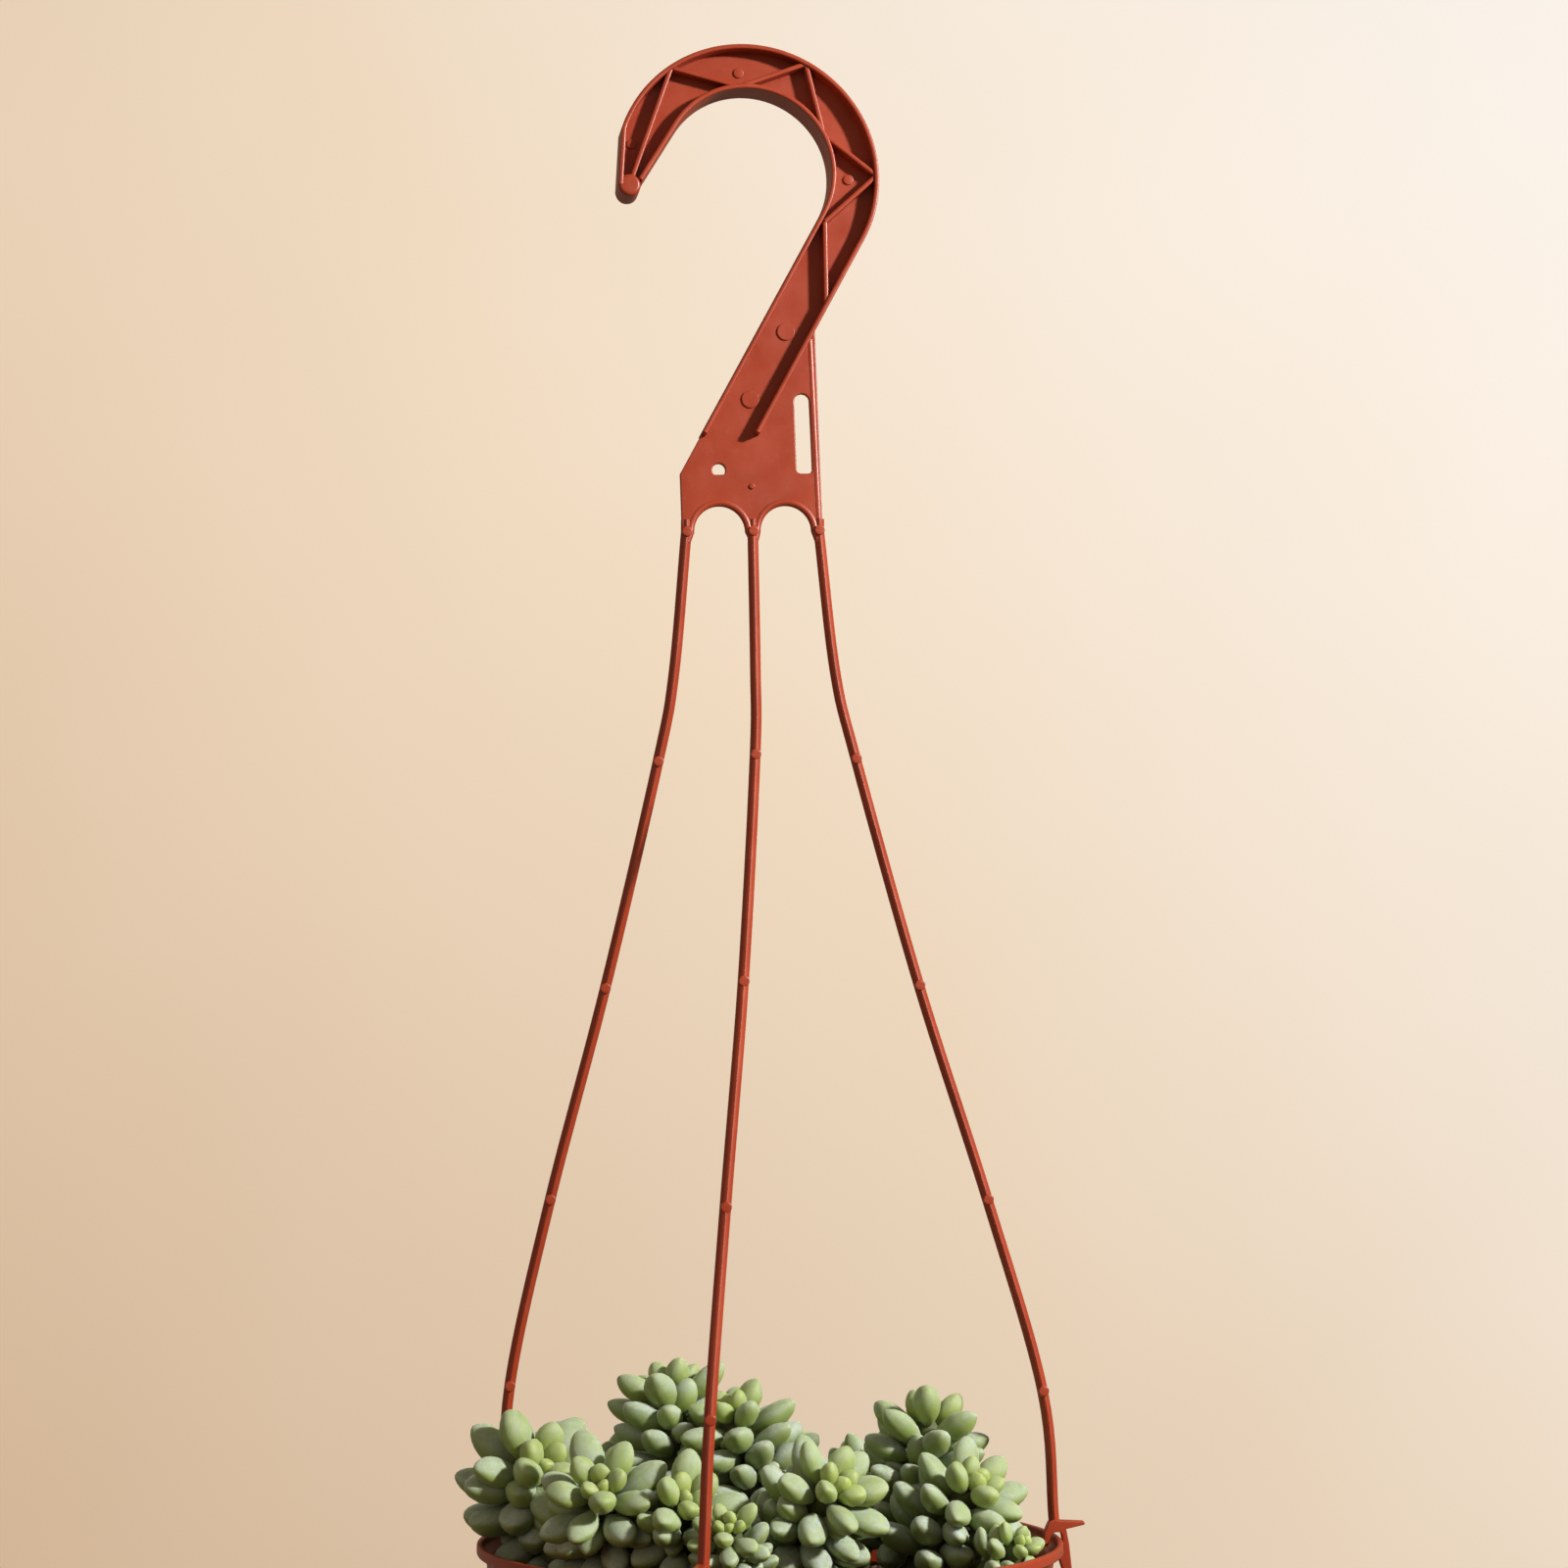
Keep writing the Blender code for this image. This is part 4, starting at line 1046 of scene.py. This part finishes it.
def backdrop_looks():
    """Pale matt paper that glows a little, with painted light: lighter to the right and up, deeper in tone
    low on the left.
    """
    looks = Looks("pale_backdrop")
    split = looks.add("ShaderNodeSeparateXYZ", {"Vector": looks.place}).outputs
    # Painted light and shade: the colour grows paler towards the right and the top, as if lit from there,
    # and the backdrop glows in this colour.
    across = looks.spread(split["X"], -0.4, 1.15, 0.0, 0.62)
    upwards = looks.spread(split["Z"], -0.7, 0.85, 0.0, 0.38)
    pale = looks.maths("ADD", across, upwards)
    pale = looks.maths("ADD", pale, looks.spread(looks.noise(2.0, 4, 0.5), 0.3, 0.7, -0.03, 0.03))
    colour = looks.ramp(pale, [(0.0, (0.58, 0.435, 0.31)), (0.5, (0.71, 0.60, 0.48)),
                               (1.0, (0.81, 0.79, 0.78))])
    return looks.finish(Base_Color=colour, Roughness=0.9, Specular_IOR_Level=0.1, Emission_Color=colour,
                        Emission_Strength=BACKDROP_GLOW)


# --- Camera, floor and lights -------------------------------------------------------------------------

# The camera, as in the photo.
LENS_MM = 72
FILM_MM = 36
CAMERA_PLACE = (-0.10985, -0.75807, -0.25309)
CAMERA_PITCH_DEG = 95.86
CAMERA_TURN_DEG = -9

# The backdrop is a round room, and its glow evens out what its lights give it.
BACKDROP_GLOW = 0.55
FLOOR_Z = -1.5
CEILING_Z = 2.2
WALL_R = 2.35
CORNER_R = 0.7
CORNER_STEPS = 16
ROOM_SIDES = 128

# The lights: where they aim, their colours, and each wash on the wall as (turn, power in watts).
HOOK_MIDDLE = Vector((0.0, 0.0, -0.04))
OBJECT_MIDDLE = Vector((0.0, 0.0, -0.23))
WARM = (1.0, 0.95, 0.88)
WARMER = (1.0, 0.80, 0.58)
NEUTRAL = (0.94, 0.95, 0.92)
ROOM_COLOUR = (1.0, 0.82, 0.60, 1.0)
ROOM_STRENGTH = 0.22
WASHES = {"back": (164, 12), "right": (80, 10), "front": (-10, 10), "left": (-100, 10)}
WASH_RISE = Vector((0.0, 0.0, 0.75))


def make_camera():
    data = bpy.data.cameras.new("camera")
    data.lens = LENS_MM
    data.sensor_width = FILM_MM
    camera = link("camera", data)
    camera.location = CAMERA_PLACE
    camera.rotation_euler = (math.radians(CAMERA_PITCH_DEG), 0.0, math.radians(CAMERA_TURN_DEG))
    bpy.context.scene.camera = camera


def make_backdrop():
    """A pale floor and ceiling that curve into a round wall. They show, but shade nothing."""
    bm = bmesh.new()
    profile = [(0.0, FLOOR_Z), (WALL_R, FLOOR_Z), (WALL_R, CEILING_Z), (0.0, CEILING_Z)]
    lathe(bm, rounded(profile, CORNER_R, CORNER_STEPS), ROOM_SIDES)
    for face in bm.faces:
        face.smooth = True
    mesh = bpy.data.meshes.new("backdrop")
    bm.to_mesh(mesh)
    bm.free()
    mesh.materials.append(backdrop_looks())
    backdrop = link("backdrop", mesh)
    backdrop.visible_diffuse = False
    backdrop.visible_glossy = False
    backdrop.visible_shadow = False


def make_light(name, place, aim, size, watts, colour):
    """A round area light at one place, facing another."""
    data = bpy.data.lights.new(name, "AREA")
    data.shape = "DISK"
    data.size = size
    data.energy = watts
    data.color = colour
    light = link(name, data)
    light.location = place
    light.rotation_euler = (place - aim).to_track_quat("Z", "Y").to_euler()
    light.visible_camera = False
    return light


def away(turn_deg, height_deg, distance):
    """The offset to a place: turned from the front towards +X, and raised."""
    turn, height = math.radians(turn_deg), math.radians(height_deg)
    return distance * Vector((math.sin(turn) * math.cos(height), -math.cos(turn) * math.cos(height),
                              math.sin(height)))


def make_lights():
    """A key that throws the photo's shadows, a wide fill, a light from behind, and washes on the wall."""
    make_light("key", HOOK_MIDDLE + away(50, 16, 1.0), OBJECT_MIDDLE, 0.10, 20, WARM)
    make_light("fill", OBJECT_MIDDLE + away(-42, 15, 1.8), OBJECT_MIDDLE, 1.2, 3.6, WARMER)
    behind = make_light("behind", OBJECT_MIDDLE + away(184, 25, 1.8), OBJECT_MIDDLE, 1.2, 22, WARM)
    behind.visible_glossy = False
    for name, (turn_deg, watts) in WASHES.items():
        place = away(turn_deg, 0, 0.6) + WASH_RISE
        make_light("wash_" + name, place, away(turn_deg, 0, WALL_R), 1.0, watts, NEUTRAL)
    world = bpy.data.worlds.new("room")
    world.use_nodes = True
    background = world.node_tree.nodes["Background"].inputs
    background["Color"].default_value = ROOM_COLOUR
    background["Strength"].default_value = ROOM_STRENGTH
    bpy.context.scene.world = world
    bpy.context.scene.view_settings.view_transform = "Standard"


# --- Everything ---------------------------------------------------------------------------------------

plastic = plastic_looks()
make_hanger(plastic)
make_pot(plastic)
make_soil(soil_looks())
make_tails(leaf_looks(), stem_looks())
make_camera()
make_backdrop()
make_lights()

bpy.context.view_layer.update()
